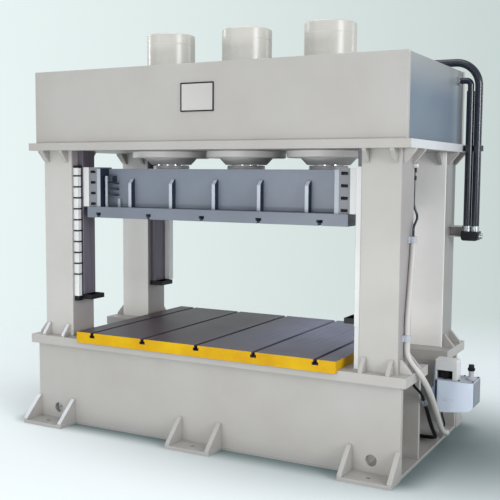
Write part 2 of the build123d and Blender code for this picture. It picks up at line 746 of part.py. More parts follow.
tank_x = plate_out_x + tank_gap
tank_top_z = tank_z + tank_h
tank_floor_z = tank_z + tank_floor_rise
tank_outline = Polyline((tank_x, tank_z), (tank_x + tank_floor_flat, tank_z),
                        (tank_x + tank_w - tank_corner, tank_floor_z),
                        (tank_x + tank_w, tank_floor_z + tank_corner), (tank_x + tank_w, tank_top_z),
                        (tank_x, tank_top_z), close=True)
tank = extrude(Plane.XZ.offset(-tank_y) * make_face(tank_outline), amount=-tank_d)
tank = fillet(tank.edges().filter_by(Axis.Z), tank_edge_r)
tank = offset(tank, amount=-tank_wall, openings=tank.faces().sort_by(Axis.Z)[-1])
save("lubricator_tank", tank)

lid_x = plate_out_x
lid = block(lid_x, tank_x + tank_w, tank_y, tank_y + tank_d, tank_top_z, tank_top_z + lid_t)
lid = fillet(lid.edges().filter_by(Axis.Z).group_by(Axis.X)[-1], tank_edge_r)
save("lubricator_lid", lid)

lid_top_z = tank_top_z + lid_t
head_y = tank_y + lid_t
head = block(plate_out_x, plate_out_x + head_w, head_y, head_y + head_d, lid_top_z, lid_top_z + head_h)
head = fillet(head.edges().filter_by(Axis.Y).group_by(Axis.Z)[-1].group_by(Axis.X)[-1], head_edge_r)
mouth_x = plate_out_x + lid_t
head -= block(mouth_x, mouth_x + mouth_w, head_y, head_y + mouth_depth, lid_top_z, lid_top_z + mouth_h)
save("lubricator_head", head)

pump_axis = (mouth_x + mouth_w / 2, head_y + mouth_depth, lid_top_z + mouth_h / 2)
pump = Plane(origin=pump_axis, z_dir=(0, -1, 0)) * extrude(Circle(pump_d / 2), amount=mouth_depth - lid_t)
save("lubricator_pump", pump)

filler_x = tank_x + tank_w - filler_in
filler_y = tank_y + tank_d / 2
neck_z = lid_top_z + filler_h
stem_r = filler_stem_d / 2
filler_foot_z = lid_top_z + filler_foot_h
filler = turned([(0, lid_top_z), (filler_d / 2, lid_top_z), (filler_d / 2, filler_foot_z),
                 (stem_r, filler_foot_z + filler_foot_h), (stem_r, neck_z), (neck_d / 2, neck_z),
                 (neck_d / 2, neck_z + neck_h), (0, neck_z + neck_h)])
save("lubricator_filler", Pos(filler_x, filler_y, 0) * filler)

knob_z = neck_z + cap_seat
knob_r = cap_d / 2
neck_hole_r = neck_d / 2 + cap_seat
knob = turned([(neck_hole_r, knob_z), (knob_r, knob_z), (knob_r, knob_z + cap_rim_h),
               (knob_r - cap_rim, knob_z + cap_rim_h), (knob_r - cap_rim, knob_z + cap_h),
               (0, knob_z + cap_h), (0, neck_z + neck_h + cap_seat),
               (neck_hole_r, neck_z + neck_h + cap_seat)])
save("lubricator_cap", Pos(filler_x, filler_y, 0) * knob)

# Conduit and switch cable down the right-hand front upright, held in saddle clips
conduit_x = upright_out_x + conduit_d / 2 + conduit_clip_gap
clip_y = -upright_in_y - clip_in
foot_clip_y = clip_y - conduit_lean
clip_z = base_top_z + clip_rise
foot_clip_z = base_top_z + foot_clip_rise
conduit_top_z = clip_z + conduit_clip_h / 2
conduit_end_z = base_wall_z + conduit_d / 2 + gland_nut_wall
conduit = tube_along([(conduit_x, clip_y, conduit_top_z), (conduit_x, clip_y, clip_z - conduit_clip_run),
                      (conduit_x, clip_y - conduit_sway, base_top_z + conduit_sway_rise),
                      (conduit_x, foot_clip_y, base_top_z + conduit_bend_rise),
                      (conduit_x, foot_clip_y, base_top_z + conduit_foot_rise)] + past_end(conduit_route)
                     + [(end_wall_x + wall_entry, conduit_end_y, conduit_end_z),
                        (end_wall_x, conduit_end_y, conduit_end_z)], conduit_d, "conduit")
save("conduit", conduit)

saddle_in_r = conduit_d / 2 + conduit_clip_gap
saddle_out_r = saddle_in_r + conduit_clip_t
saddle_legs = Pos(-saddle_in_r / 2, 0) * Rectangle(saddle_in_r, 2 * saddle_out_r)
saddle_room = Pos(-saddle_in_r / 2, 0) * Rectangle(saddle_in_r, 2 * saddle_in_r)
saddle_foot_w = 2 * (saddle_out_r + clip_foot)
saddle_feet = Pos(conduit_clip_t / 2 - saddle_in_r, 0) * Rectangle(conduit_clip_t, saddle_foot_w)
saddle_arch = Circle(saddle_out_r) & Pos(saddle_out_r / 2, 0) * Rectangle(saddle_out_r, 2 * saddle_out_r)
saddle_face = saddle_arch + saddle_legs + saddle_feet - Circle(saddle_in_r) - saddle_room
saddle = extrude(saddle_face, amount=conduit_clip_h / 2, both=True)
save("conduit_clips", Pos(conduit_x, clip_y, clip_z) * saddle,
     Pos(conduit_x, foot_clip_y, foot_clip_z) * saddle)

cable_x = upright_out_x - cable_d / 2
cable_y = -upright_in_y + cleat_w - cable_d / 2
cable_top_z = crown_z - cable_drop
cable = tube_along([(cable_x, cable_y, cable_top_z), (cable_x, cable_y, conduit_top_z + cable_bends[0]),
                    (conduit_x, cable_y + cable_turn_y, conduit_top_z + cable_bends[1]),
                    (conduit_x, clip_y, conduit_top_z + cable_bends[2]), (conduit_x, clip_y, conduit_top_z)],
                   cable_d, "cable")
save("switch_cable", cable)

cleat = block(cable_x - cleat_w / 2, cable_x + cleat_w / 2, -upright_in_y, -upright_in_y + cleat_w,
              0, cleat_h)
cleat -= Pos(cable_x, cable_y, cleat_h / 2) * Cylinder(cable_d / 2 + conduit_clip_gap, cleat_h)
save("cable_cleats", *[Pos(0, 0, cable_top_z - drop) * cleat for drop in (cleat_h, 2 * cleat_h + cleat_gap)])

# Drain line from the table plate, its coupling, and the lubricator's hose
slant = Vector(0, 0.688, -0.726)
coupling_top = Vector(*past_end([coupling_top_at])[0])
coupling_low = coupling_top + slant * coupling_len
drain_pipe_top = [(drain_pipe_out, drain_pipe_y, table_under_z),
                  (drain_pipe_out, drain_pipe_y, table_under_z - drain_pipe_run)]
drain_pipe = tube_along(past_end(drain_pipe_top) + [coupling_top - slant * 60.0, coupling_top],
                        drain_pipe_d, "drain_pipe")
coupling = Plane(origin=coupling_top, z_dir=slant) * extrude(Circle(coupling_d / 2), amount=coupling_len)
save("drain_coupling", coupling)
drain_end_z = base_wall_z + drain_d / 2 + gland_nut_wall
drain_hose = tube_along([coupling_low, coupling_low + slant * 60.0] + past_end(drain_hose_route)
                        + [(end_wall_x + wall_entry, drain_end_y, drain_end_z),
                           (end_wall_x, drain_end_y, drain_end_z)], drain_d, "drain_hose")
save("drain_hoses", drain_pipe, drain_hose)

lube_hose = tube_along(past_end(lube_hose_route)
                       + [(end_wall_x + wall_entry, lube_end_y, lube_end_z),
                          (end_wall_x, lube_end_y, lube_end_z)], lube_hose_d, "lubricator_hose")
save("lubricator_hose", lube_hose)

save("end_wall_glands", gland_nut(conduit_d, (end_wall_x, conduit_end_y, conduit_end_z), (1, 0, 0)),
     gland_nut(drain_d, (end_wall_x, drain_end_y, drain_end_z), (1, 0, 0)),
     gland_nut(lube_hose_d, (end_wall_x, lube_end_y, lube_end_z), (1, 0, 0)))
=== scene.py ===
import bpy
import json
import math
from mathutils import Matrix, Vector


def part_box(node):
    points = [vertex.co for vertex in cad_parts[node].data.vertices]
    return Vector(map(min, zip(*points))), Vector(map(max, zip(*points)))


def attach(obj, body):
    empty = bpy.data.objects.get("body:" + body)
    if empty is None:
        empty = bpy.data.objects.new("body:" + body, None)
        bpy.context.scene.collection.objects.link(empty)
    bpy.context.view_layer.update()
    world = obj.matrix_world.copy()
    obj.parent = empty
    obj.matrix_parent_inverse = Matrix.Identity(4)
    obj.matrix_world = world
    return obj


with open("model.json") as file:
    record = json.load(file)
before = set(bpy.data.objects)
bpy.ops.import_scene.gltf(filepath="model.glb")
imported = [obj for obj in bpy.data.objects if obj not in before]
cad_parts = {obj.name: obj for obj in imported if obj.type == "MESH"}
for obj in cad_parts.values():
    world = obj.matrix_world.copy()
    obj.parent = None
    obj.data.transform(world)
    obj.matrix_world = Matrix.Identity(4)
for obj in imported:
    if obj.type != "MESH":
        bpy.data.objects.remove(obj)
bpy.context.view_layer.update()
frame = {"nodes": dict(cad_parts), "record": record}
nodes = frame["nodes"]
print("frame loaded:", len(nodes), "nodes")


# Camera at the photograph's place and angle
cameraSettings = {
    "lens": 62.21,  # mm
    "sensor": 36.0,  # mm
    "place": (3.1048, -5.7349, 1.9151),
    "turn": 28.146,  # degrees to the left of straight ahead
    "dip": 5.097,  # degrees below the horizon
    "roll": 0.367,
    "farthest": 200.0,
}


def placeCamera(settings):
    bpy.ops.object.camera_add()
    camera = bpy.context.object
    camera.name = "photoCamera"
    camera.data.sensor_width = settings["sensor"]
    camera.data.lens = settings["lens"]
    camera.data.clip_end = settings["farthest"]
    turned = Matrix.Rotation(math.radians(settings["turn"]), 4, "Z")
    tipped = Matrix.Rotation(math.radians(90.0 - settings["dip"]), 4, "X")
    rolled = Matrix.Rotation(math.radians(settings["roll"]), 4, "Z")
    camera.matrix_world = Matrix.Translation(settings["place"]) @ turned @ tipped @ rolled
    bpy.context.scene.camera = camera


placeCamera(cameraSettings)
bpy.context.scene.view_settings.view_transform = "Standard"
print("camera placed")


# Shared helpers for materials
mixColours = {"data_type": "RGBA"}
smoothly = {"interpolation_type": "SMOOTHSTEP"}
roundSamples = {"samples": 4}
edgeBend = {"From Min": 0.97, "From Max": 0.75}  # cosines to the rounded normal where an edge begins and is full
facingShare = 0.5  # part of a face's direction from which it counts as looking that way


def linear(hexColour):
    # sRGB's own curve, turned back into the values that nodes take
    parts = [int(hexColour[at:at + 2], 16) / 255 for at in (1, 3, 5)]
    return [part / 12.92 if part <= 0.04045 else ((part + 0.055) / 1.055) ** 2.4 for part in parts] + [1.0]


def addNode(tree, kind, settings={}, inputs={}):
    # A tuple (node, "Output") is linked, anything else is set on the socket
    made = tree.nodes.new("ShaderNode" + kind)
    for name, value in settings.items():
        setattr(made, name, value)
    for socket, value in inputs.items():
        if isinstance(value, tuple):
            tree.links.new(value[0].outputs[value[1]], made.inputs[socket])
        else:
            made.inputs[socket].default_value = value
    return made


def newMaterial(name):
    material = bpy.data.materials.new(name)
    material.use_nodes = True
    material.node_tree.nodes.clear()
    return material, material.node_tree


def closeMaterial(tree, shader, output="BSDF"):
    addNode(tree, "OutputMaterial", {}, {"Surface": (shader, output)})


def perMetre(sizeInMm):
    return 1000.0 / sizeInMm


def faceAim(tree):
    # The way a face looks, split into X, Y and Z
    face = addNode(tree, "NewGeometry")
    return addNode(tree, "SeparateXYZ", {}, {"Vector": (face, "True Normal")})


def pointPlace(tree):
    # Where a point of the surface is, split into X, Y and Z
    coords = addNode(tree, "TexCoord")
    return addNode(tree, "SeparateXYZ", {}, {"Vector": (coords, "Object")})


def edgeMask(tree, radius):
    # 1 along the solids' outer edges and 0 on their faces, with the rounded normal beside it
    soft = addNode(tree, "Bevel", roundSamples, {"Radius": radius})
    face = addNode(tree, "NewGeometry")
    match = addNode(tree, "VectorMath", {"operation": "DOT_PRODUCT"}, {0: (soft, "Normal"), 1: (face, "Normal")})
    mask = addNode(tree, "MapRange", {}, {"Value": (match, "Value"), **edgeBend})
    return soft, mask


# Machine enamel sprayed on steel plate: satin, with its orange peel drawn coarse enough to show, a slow drift
# in tone, a painted highlight that lightens the edges, and a tone that turns darker towards the floor
enamelLooks = {  # colour, what it drifts to, painted edge highlight, darker tone near the floor, roughness, shine
    "frameEnamel": ("#A9A6A2", "#A39F9A", "#E8E6E5", "#8E8D8B", 0.42, 0.5),
    "cylinderEnamel": ("#C3C0B8", "#BBB8B1", "#EDECEA", "#8E8D8B", 0.25, 0.5),
    "slideEnamel": ("#7C838F", "#727986", "#A6AEBA", "#4E5661", 0.36, 0.5),
    # darker copy of the slide's enamel, as painted shade on the slide plate
    "slidePlateEnamel": ("#6F7681", "#676D78", "#A6AEBA", "#4E5661", 0.36, 0.5),
    # slate paint of the crown's end walls, darkened further as painted shade; on the lubricator bracket it is
    # painted shade
    "endEnamel": ("#5E6C7D", "#687583", "#B4BECA", "#4E5661", 0.38, 0.5),
    "paleEnamel": ("#A9ADB5", "#9EA2AB", "#EDEFF1", "#70747A", 0.34, 0.5),
    "shoeEnamel": ("#7B7C82", "#6E7077", "#C9CCD2", "#565A63", 0.36, 0.5),
    # near-white as painted light on the flanges, glands and rod flanges under the crown
    "litFlangeEnamel": ("#E6E4E1", "#DEDCD9", "#F2F1F0", "#9A9A98", 0.3, 0.5),
    "plateEnamel": ("#B6B3B0", "#B2AFAB", "#DEDCDA", "#8E8D8B", 0.42, 0.5),
    "navyEnamel": ("#222C40", "#1B2437", "#4A566C", "#10151F", 0.36, 0.5),
    "blackEnamel": ("#141418", "#1A1A1F", "#3A3A42", "#101012", 0.38, 0.2),
    "whiteEnamel": ("#D6D6D4", "#CCCCCB", "#EFEFEE", "#9A9A98", 0.36, 0.5),
}
faceEnamelLooks = {  # the same for tones that cover only some faces of a piece, most of them painted light and painted shade
    # painted light: a greyer tone along the top of the crown's end walls
    "topLightEnamel": ("#8A8D90", "#84878A", "#B4BECA", "#4E5661", 0.42, 0.5),
    # painted highlight along the slide webs' fronts
    "highlightStripEnamel": ("#BCC3CE", "#B1B8C4", "#EEF0F2", "#70747A", 0.28, 0.5),
    "uprightEnamel": ("#B7B4B0", "#B1AEA9", "#EDEBEA", "#8E8D8B", 0.42, 0.5),
    # darker copy of the uprights' enamel, as painted shade on the front right upright's front
    "nearEnamel": ("#ABA8A3", "#A5A29C", "#EDEBEA", "#8E8D8B", 0.42, 0.5),
    # painted shade on the uprights' faces that look right
    "sideShadeEnamel": ("#9C9796", "#948F8F", "#D8D6D5", "#8E8D8B", 0.44, 0.5),
    # painted light on the back uprights' fronts
    "litFrontEnamel": ("#E8E5E1", "#E1DEDA", "#F0EFEE", "#8E8D8B", 0.42, 0.5),
    # painted shade on the back right upright's faces that look right
    "backSideEnamel": ("#8F8D8C", "#898785", "#B9B7B6", "#7E7D7B", 0.44, 0.5),
    # painted highlight: on the gussets' slopes and on the crown flange's right end
    "highlightEnamel": ("#C9CACC", "#BFC0C3", "#ECECEE", "#B4B3B1", 0.3, 0.5),
}
enamelGrain = {
    "driftMm": 520.0,
    "driftDetail": 4.0,
    "driftRough": 0.55,
    "driftFrom": 0.35,
    "driftTo": 0.65,
    "smoother": 0.06,  # what the drift takes off the roughness
    "rougher": 0.08,  # and adds to it
    "lowToneHeight": 0.11,
    "lowToneShare": 0.45,
    "edgeMm": 5.0,
    "edgeHighlightShare": 0.55,
    "peelMm": 9.0,
    "peelDetail": 2.0,
    "peelDepthMm": 0.25,
    "peelStrength": 0.5,
}


def enamelNodes(tree, name):
    colour, drifted, edge, lowTone, roughness, shine = {**enamelLooks, **faceEnamelLooks}[name]
    grain = enamelGrain
    coords = addNode(tree, "TexCoord")
    drift = addNode(tree, "TexNoise", {}, {"Vector": (coords, "Object"), "Scale": perMetre(grain["driftMm"]),
                                           "Detail": grain["driftDetail"], "Roughness": grain["driftRough"]})
    driftMask = addNode(tree, "MapRange", {}, {"Value": (drift, "Fac"), "From Min": grain["driftFrom"],
                                               "From Max": grain["driftTo"]})
    tone = addNode(tree, "Mix", mixColours, {"Factor": (driftMask, "Result"), "A": linear(colour),
                                             "B": linear(drifted)})
    place = addNode(tree, "SeparateXYZ", {}, {"Vector": (coords, "Object")})
    # the tone turns darker towards the floor
    low = addNode(tree, "MapRange", {}, {"Value": (place, "Z"), "From Min": grain["lowToneHeight"],
                                         "From Max": 0.0, "To Max": grain["lowToneShare"]})
    lowToned = addNode(tree, "Mix", mixColours, {"Factor": (low, "Result"), "A": (tone, "Result"),
                                              "B": linear(lowTone)})
    # painted highlight: the edges are mixed towards the lighter edge colour
    soft, mask = edgeMask(tree, grain["edgeMm"] / 1000)
    share = addNode(tree, "Math", {"operation": "MULTIPLY"}, {0: (mask, "Result"), 1: grain["edgeHighlightShare"]})
    edgeHighlighted = addNode(tree, "Mix", mixColours, {"Factor": (share, "Value"), "A": (lowToned, "Result"),
                                              "B": linear(edge)})
    peel = addNode(tree, "TexNoise", {}, {"Vector": (coords, "Object"), "Scale": perMetre(grain["peelMm"]),
                                          "Detail": grain["peelDetail"]})
    bump = addNode(tree, "Bump", {}, {"Height": (peel, "Fac"), "Distance": grain["peelDepthMm"] / 1000,
                                      "Strength": grain["peelStrength"], "Normal": (soft, "Normal")})
    rough = addNode(tree, "MapRange", {}, {"Value": (drift, "Fac"), "To Min": roughness - grain["smoother"],
                                           "To Max": roughness + grain["rougher"]})
    return addNode(tree, "BsdfPrincipled", {}, {"Base Color": (edgeHighlighted, "Result"), "Roughness": (rough, "Result"),
                                                "Normal": (bump, "Normal"), "Specular IOR Level": shine})


def enamel(name):
    material, tree = newMaterial(name)
    closeMaterial(tree, enamelNodes(tree, name))
    return material


def mixEnamels(tree, mask, first, second):
    # Two enamels on one piece, the second where the mask is 1
    return addNode(tree, "MixShader", {}, {0: mask, 1: (enamelNodes(tree, first), "BSDF"),
                                           2: (enamelNodes(tree, second), "BSDF")})


# Steel as machining leaves it: metal with tool marks across the way the cutter went, drawn coarser than the
# real ones so that they show
steelLooks = {  # markMm is how far a mark runs along X, Y and Z
    "turnedSteel": {"colour": "#B9BABC", "dark": "#96989B", "rough": 0.2, "markMm": (75.0, 75.0, 1.875),
                    "metal": 1.0},
    "oiledRailSteel": {"colour": "#7B7480", "dark": "#423C46", "rough": 0.4, "markMm": (15.0, 15.0, 750.0),
                       "metal": 0.35},
    "zincPlate": {"colour": "#CFD1D4", "dark": "#AEB1B5", "rough": 0.26, "markMm": (180.0, 180.0, 180.0),
                  "metal": 1.0},
    "hardChrome": {"colour": "#DADCE0", "dark": "#CCCFD4", "rough": 0.08, "markMm": (90.0, 90.0, 3.0),
                   "metal": 1.0},
}
steelGrain = {"detail": 5.0, "roughness": 0.6, "smoothest": 0.8, "roughest": 1.4, "edgeMm": 1.5,
              "markDepthMm": 0.3, "markStrength": 0.3}


def steel(name):
    material, tree = newMaterial(name)
    look, grain = steelLooks[name], steelGrain
    coords = addNode(tree, "TexCoord")
    spread = addNode(tree, "Mapping", {}, {"Vector": (coords, "Object"),
                                           "Scale": [perMetre(length) for length in look["markMm"]]})
    marks = addNode(tree, "TexNoise", {}, {"Vector": (spread, "Vector"), "Scale": 1.0,
                                           "Detail": grain["detail"], "Roughness": grain["roughness"]})
    tone = addNode(tree, "Mix", mixColours, {"Factor": (marks, "Fac"), "A": linear(look["colour"]),
                                             "B": linear(look["dark"])})
    rough = addNode(tree, "MapRange", {}, {"Value": (marks, "Fac"), "To Min": look["rough"] * grain["smoothest"],
                                           "To Max": look["rough"] * grain["roughest"]})
    soft = addNode(tree, "Bevel", roundSamples, {"Radius": grain["edgeMm"] / 1000})
    bump = addNode(tree, "Bump", {}, {"Height": (marks, "Fac"), "Distance": grain["markDepthMm"] / 1000,
                                      "Strength": grain["markStrength"], "Normal": (soft, "Normal")})
    metal = addNode(tree, "BsdfPrincipled", {}, {"Base Color": (tone, "Result"), "Roughness": (rough, "Result"),
                                                 "Metallic": look["metal"], "Normal": (bump, "Normal")})
    closeMaterial(tree, metal)
    return material


# Plates whose faces that look to the right, and on some those that look ahead, take tones of their own that are
# painted shade and painted light
plateCoats = {  # rest of the piece, right, ahead
    # slide end plates: navy on the faces that look right, as painted shade
    "paleEndPlatesWithPaintedShadeOnRightFaces": ("paleEnamel", "navyEnamel", None),
    # slide webs: a painted highlight on their fronts, navy as painted shade on the faces that look right
    "websWithPaintedHighlightAndShade": ("highlightStripEnamel", "navyEnamel", None),
    # front right upright: painted shade on its front and on the faces that look right
    "uprightWithShadedSide": ("nearEnamel", "sideShadeEnamel", None),
    # front left upright: painted shade on the faces that look right
    "uprightWithPaintedShadeInside": ("uprightEnamel", "sideShadeEnamel", None),
    # back uprights: painted light on their fronts, painted shade on the faces that look right
    "uprightWithPaintedLightFrontAndShadedSide": ("uprightEnamel", "backSideEnamel", "litFrontEnamel"),
    "uprightWithPaintedLightFrontAndShadeInside": ("uprightEnamel", "sideShadeEnamel", "litFrontEnamel"),
    # crown flange: the faces that look right take the lighter tone as painted light
    "flangeWithPaintedLightAtTheEnd": ("frameEnamel", "highlightEnamel", None),
}


def twoTonePlates(name):
    material, tree = newMaterial(name)
    rest, right, ahead = plateCoats[name]
    aim = faceAim(tree)
    toRight = addNode(tree, "Math", {"operation": "GREATER_THAN"}, {0: (aim, "X"), 1: facingShare})
    coat = mixEnamels(tree, (toRight, "Value"), rest, right)
    if ahead:
        toFront = addNode(tree, "Math", {"operation": "LESS_THAN"}, {0: (aim, "Y"), 1: -facingShare})
        coat = addNode(tree, "MixShader", {}, {0: (toFront, "Value"), 1: (coat, "Shader"),
                                               2: (enamelNodes(tree, ahead), "BSDF")})
    closeMaterial(tree, coat, "Shader")
    return material


# Gussets: the frame's enamel, with a painted highlight on the sloping edges at the left end
gussetLook = {"highlightLeftOf": -0.9, "slope": 0.55, "slopeSpan": 0.35}  # slope is how far up a face looks


def gussetsWithPaintedHighlight(name):
    material, tree = newMaterial(name)
    slope = addNode(tree, "Math", {"operation": "COMPARE"}, {0: (faceAim(tree), "Z"), 1: gussetLook["slope"],
                                                             2: gussetLook["slopeSpan"]})
    atLeft = addNode(tree, "Math", {"operation": "LESS_THAN"}, {0: (pointPlace(tree), "X"),
                                                                1: gussetLook["highlightLeftOf"]})
    highlighted = addNode(tree, "Math", {"operation": "MULTIPLY"}, {0: (slope, "Value"), 1: (atLeft, "Value")})
    closeMaterial(tree, mixEnamels(tree, (highlighted, "Value"), "frameEnamel", "highlightEnamel"), "Shader")
    return material


# Crown's end walls: slate enamel, turned greyer along the top as painted light
def endWallsWithPaintedLightAtTop(name):
    material, tree = newMaterial(name)
    low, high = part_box("crown_long_walls")
    topLight = addNode(tree, "MapRange", smoothly, {"Value": (pointPlace(tree), "Z"),
                                                  "From Min": (low.z + high.z) / 2, "From Max": high.z})
    closeMaterial(tree, mixEnamels(tree, (topLight, "Result"), "endEnamel", "topLightEnamel"), "Shader")
    return material


# Cylinders: a warm grey coat above the crown, and a near-white tone as painted light on the bolted flanges below
def barrelsWithPaintedLightBelow(name):
    material, tree = newMaterial(name)
    below = addNode(tree, "Math", {"operation": "LESS_THAN"}, {0: (pointPlace(tree), "Z"),
                                                               1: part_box("crown_flange")[1].z})
    closeMaterial(tree, mixEnamels(tree, (below, "Value"), "cylinderEnamel", "litFlangeEnamel"), "Shader")
    return material


# Planed cast iron bed: dark and brownish, brushed front to back by the cleaning of each shift, with a painted
# blue sheen on the right half that stands for reflected light, and safety-yellow enamel on its four outer sides
bedLook = {
    "iron": "#47383F",
    "worn": "#554850",
    "wearMm": 340.0,
    "wearDetail": 5.0,
    "wearRough": 0.6,
    "wearFrom": 0.38,
    "wearTo": 0.66,
    "sheen": "#9A9BBF",
    "sheenShare": 0.6,
    "sheenAcross": (-0.1, 0.4),  # X where the painted sheen begins and is full
    "sheenBack": (-0.55, -0.05),  # Y of the same
    "sheenAtFront": 0.25,  # share of it that is left at the front
    "oil": "#4A4350",
    "oilShare": 0.4,
    "oilFrom": 0.4,
    "oilTo": 0.7,
    "strokeMm": (14.0, 350.0, 14.0),  # the brush strokes' size along X, Y and Z, coarser than the real ones
    "strokeDetail": 3.0,
    "strokeDepthMm": 0.6,
    "strokeStrength": 0.35,
    "edgeMm": 3.0,
    "metal": 0.12,
    "shine": 0.3,
    "smoothest": 0.34,
    "roughest": 0.56,
    "yellow": "#CDA404",
    "yellowDrift": "#BC8B05",
    "yellowRough": 0.5,
    "yellowShine": 0.15,
    "yellowAtEnds": 0.002,  # how far in from the ends' faces the yellow reaches
    "yellowAtFronts": 0.0005,
}


def bedIronAndYellow(name):
    material, tree = newMaterial(name)
    look = bedLook
    coords = addNode(tree, "TexCoord")
    wear = addNode(tree, "TexNoise", {}, {"Vector": (coords, "Object"), "Scale": perMetre(look["wearMm"]),
                                          "Detail": look["wearDetail"], "Roughness": look["wearRough"]})
    along = addNode(tree, "Mapping", {}, {"Vector": (coords, "Object"),
                                          "Scale": [perMetre(length) for length in look["strokeMm"]]})
    strokes = addNode(tree, "TexNoise", {}, {"Vector": (along, "Vector"), "Scale": 1.0,
                                             "Detail": look["strokeDetail"]})
    wearMask = addNode(tree, "MapRange", {}, {"Value": (wear, "Fac"), "From Min": look["wearFrom"],
                                              "From Max": look["wearTo"]})
    tone = addNode(tree, "Mix", mixColours, {"Factor": (wearMask, "Result"), "A": linear(look["iron"]),
                                             "B": linear(look["worn"])})
    place = addNode(tree, "SeparateXYZ", {}, {"Vector": (coords, "Object")})
    # painted sheen: a blue reflection laid over the right half, weaker towards the front
    across = addNode(tree, "MapRange", {}, {"Value": (place, "X"), "From Min": look["sheenAcross"][0],
                                            "From Max": look["sheenAcross"][1], "To Max": look["sheenShare"]})
    back = addNode(tree, "MapRange", {}, {"Value": (place, "Y"), "From Min": look["sheenBack"][0],
                                          "From Max": look["sheenBack"][1], "To Min": look["sheenAtFront"]})
    sheen = addNode(tree, "Math", {"operation": "MULTIPLY"}, {0: (across, "Result"), 1: (back, "Result")})
    sheened = addNode(tree, "Mix", mixColours, {"Factor": (sheen, "Value"), "A": (tone, "Result"),
                                               "B": linear(look["sheen"])})
    strokeMask = addNode(tree, "MapRange", {}, {"Value": (strokes, "Fac"), "From Min": look["oilFrom"],
                                                "From Max": look["oilTo"], "To Max": look["oilShare"]})
    oiled = addNode(tree, "Mix", mixColours, {"Factor": (strokeMask, "Result"), "A": (sheened, "Result"),
                                              "B": linear(look["oil"])})
    rough = addNode(tree, "MapRange", {}, {"Value": (wear, "Fac"), "To Min": look["smoothest"],
                                           "To Max": look["roughest"]})
    soft = addNode(tree, "Bevel", roundSamples, {"Radius": look["edgeMm"] / 1000})
    bump = addNode(tree, "Bump", {}, {"Height": (strokes, "Fac"), "Distance": look["strokeDepthMm"] / 1000,
                                      "Strength": look["strokeStrength"], "Normal": (soft, "Normal")})
    iron = addNode(tree, "BsdfPrincipled", {}, {"Base Color": (oiled, "Result"), "Roughness": (rough, "Result"),
                                                "Metallic": look["metal"], "Normal": (bump, "Normal"),
                                                "Specular IOR Level": look["shine"]})
    yellowTone = addNode(tree, "Mix", mixColours, {"Factor": (wearMask, "Result"), "A": linear(look["yellow"]),
                                                   "B": linear(look["yellowDrift"])})
    yellow = addNode(tree, "BsdfPrincipled", {}, {"Base Color": (yellowTone, "Result"),
                                                  "Roughness": look["yellowRough"], "Normal": (soft, "Normal"),
                                                  "Specular IOR Level": look["yellowShine"]})
    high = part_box("bolster")[1]
    fromMiddle = addNode(tree, "VectorMath", {"operation": "ABSOLUTE"}, {0: (coords, "Object")})
    reach = addNode(tree, "SeparateXYZ", {}, {"Vector": (fromMiddle, "Vector")})
    atEnds = addNode(tree, "Math", {"operation": "GREATER_THAN"}, {0: (reach, "X"),
                                                                   1: high.x - look["yellowAtEnds"]})
    atFronts = addNode(tree, "Math", {"operation": "GREATER_THAN"}, {0: (reach, "Y"),
                                                                     1: high.y - look["yellowAtFronts"]})
    outside = addNode(tree, "Math", {"operation": "MAXIMUM"}, {0: (atEnds, "Value"), 1: (atFronts, "Value")})
    both = addNode(tree, "MixShader", {}, {0: (outside, "Value"), 1: (iron, "BSDF"), 2: (yellow, "BSDF")})
    closeMaterial(tree, both, "Shader")
    return material


# Extruded hose rubber and moulded plastics: low sheen, with a fine even grain
mouldedLooks = {
    "hoseRubber": {"colour": "#151928", "rough": 0.22, "grainMm": 5.0, "depthMm": 0.3, "shine": 0.6},
    "drainRubber": {"colour": "#121217", "rough": 0.5, "grainMm": 5.0, "depthMm": 0.3, "shine": 0.15},
    "conduitPlastic": {"colour": "#BAB7B3", "rough": 0.48, "grainMm": 7.0, "depthMm": 0.2, "shine": 0.5},
    "blackNylon": {"colour": "#101013", "rough": 0.46, "grainMm": 4.0, "depthMm": 0.2, "shine": 0.25},
}
mouldedGrain = {"detail": 3.0, "strength": 0.4, "edgeMm": 2.0, "smoother": 0.05, "rougher": 0.08}


def moulded(name):
    material, tree = newMaterial(name)
    look, grain = mouldedLooks[name], mouldedGrain
    coords = addNode(tree, "TexCoord")
    pits = addNode(tree, "TexNoise", {}, {"Vector": (coords, "Object"), "Scale": perMetre(look["grainMm"]),
                                          "Detail": grain["detail"]})
    soft = addNode(tree, "Bevel", roundSamples, {"Radius": grain["edgeMm"] / 1000})
    bump = addNode(tree, "Bump", {}, {"Height": (pits, "Fac"), "Distance": look["depthMm"] / 1000,
                                      "Strength": grain["strength"], "Normal": (soft, "Normal")})
    rough = addNode(tree, "MapRange", {}, {"Value": (pits, "Fac"), "To Min": look["rough"] - grain["smoother"],
                                           "To Max": look["rough"] + grain["rougher"]})
    body = addNode(tree, "BsdfPrincipled", {}, {"Base Color": linear(look["colour"]),
                                                "Roughness": (rough, "Result"), "Normal": (bump, "Normal"),
                                                "Specular IOR Level": look["shine"]})
    closeMaterial(tree, body)
    return material


# Blown polyethylene tank: milky and pale blue, light soaks into its wall, and the end that faces out
# is greyer as painted shade
tankLook = {
    "front": "#DCE4F2",
    "cloud": "#D3DBE9",
    "cloudMm": 120.0,
    "cloudDetail": 2.0,
    # painted shade on the faces that look right
    "end": "#666C74",
    "shadedFrom": 0.3,  # X of a face's direction where the end's painted shade begins
    "shadedTo": 0.8,
    "edgeMm": 4.0,
    "rough": 0.32,
    "soak": 0.3,
    "soakMm": 10.0,
    "ior": 1.5,
}


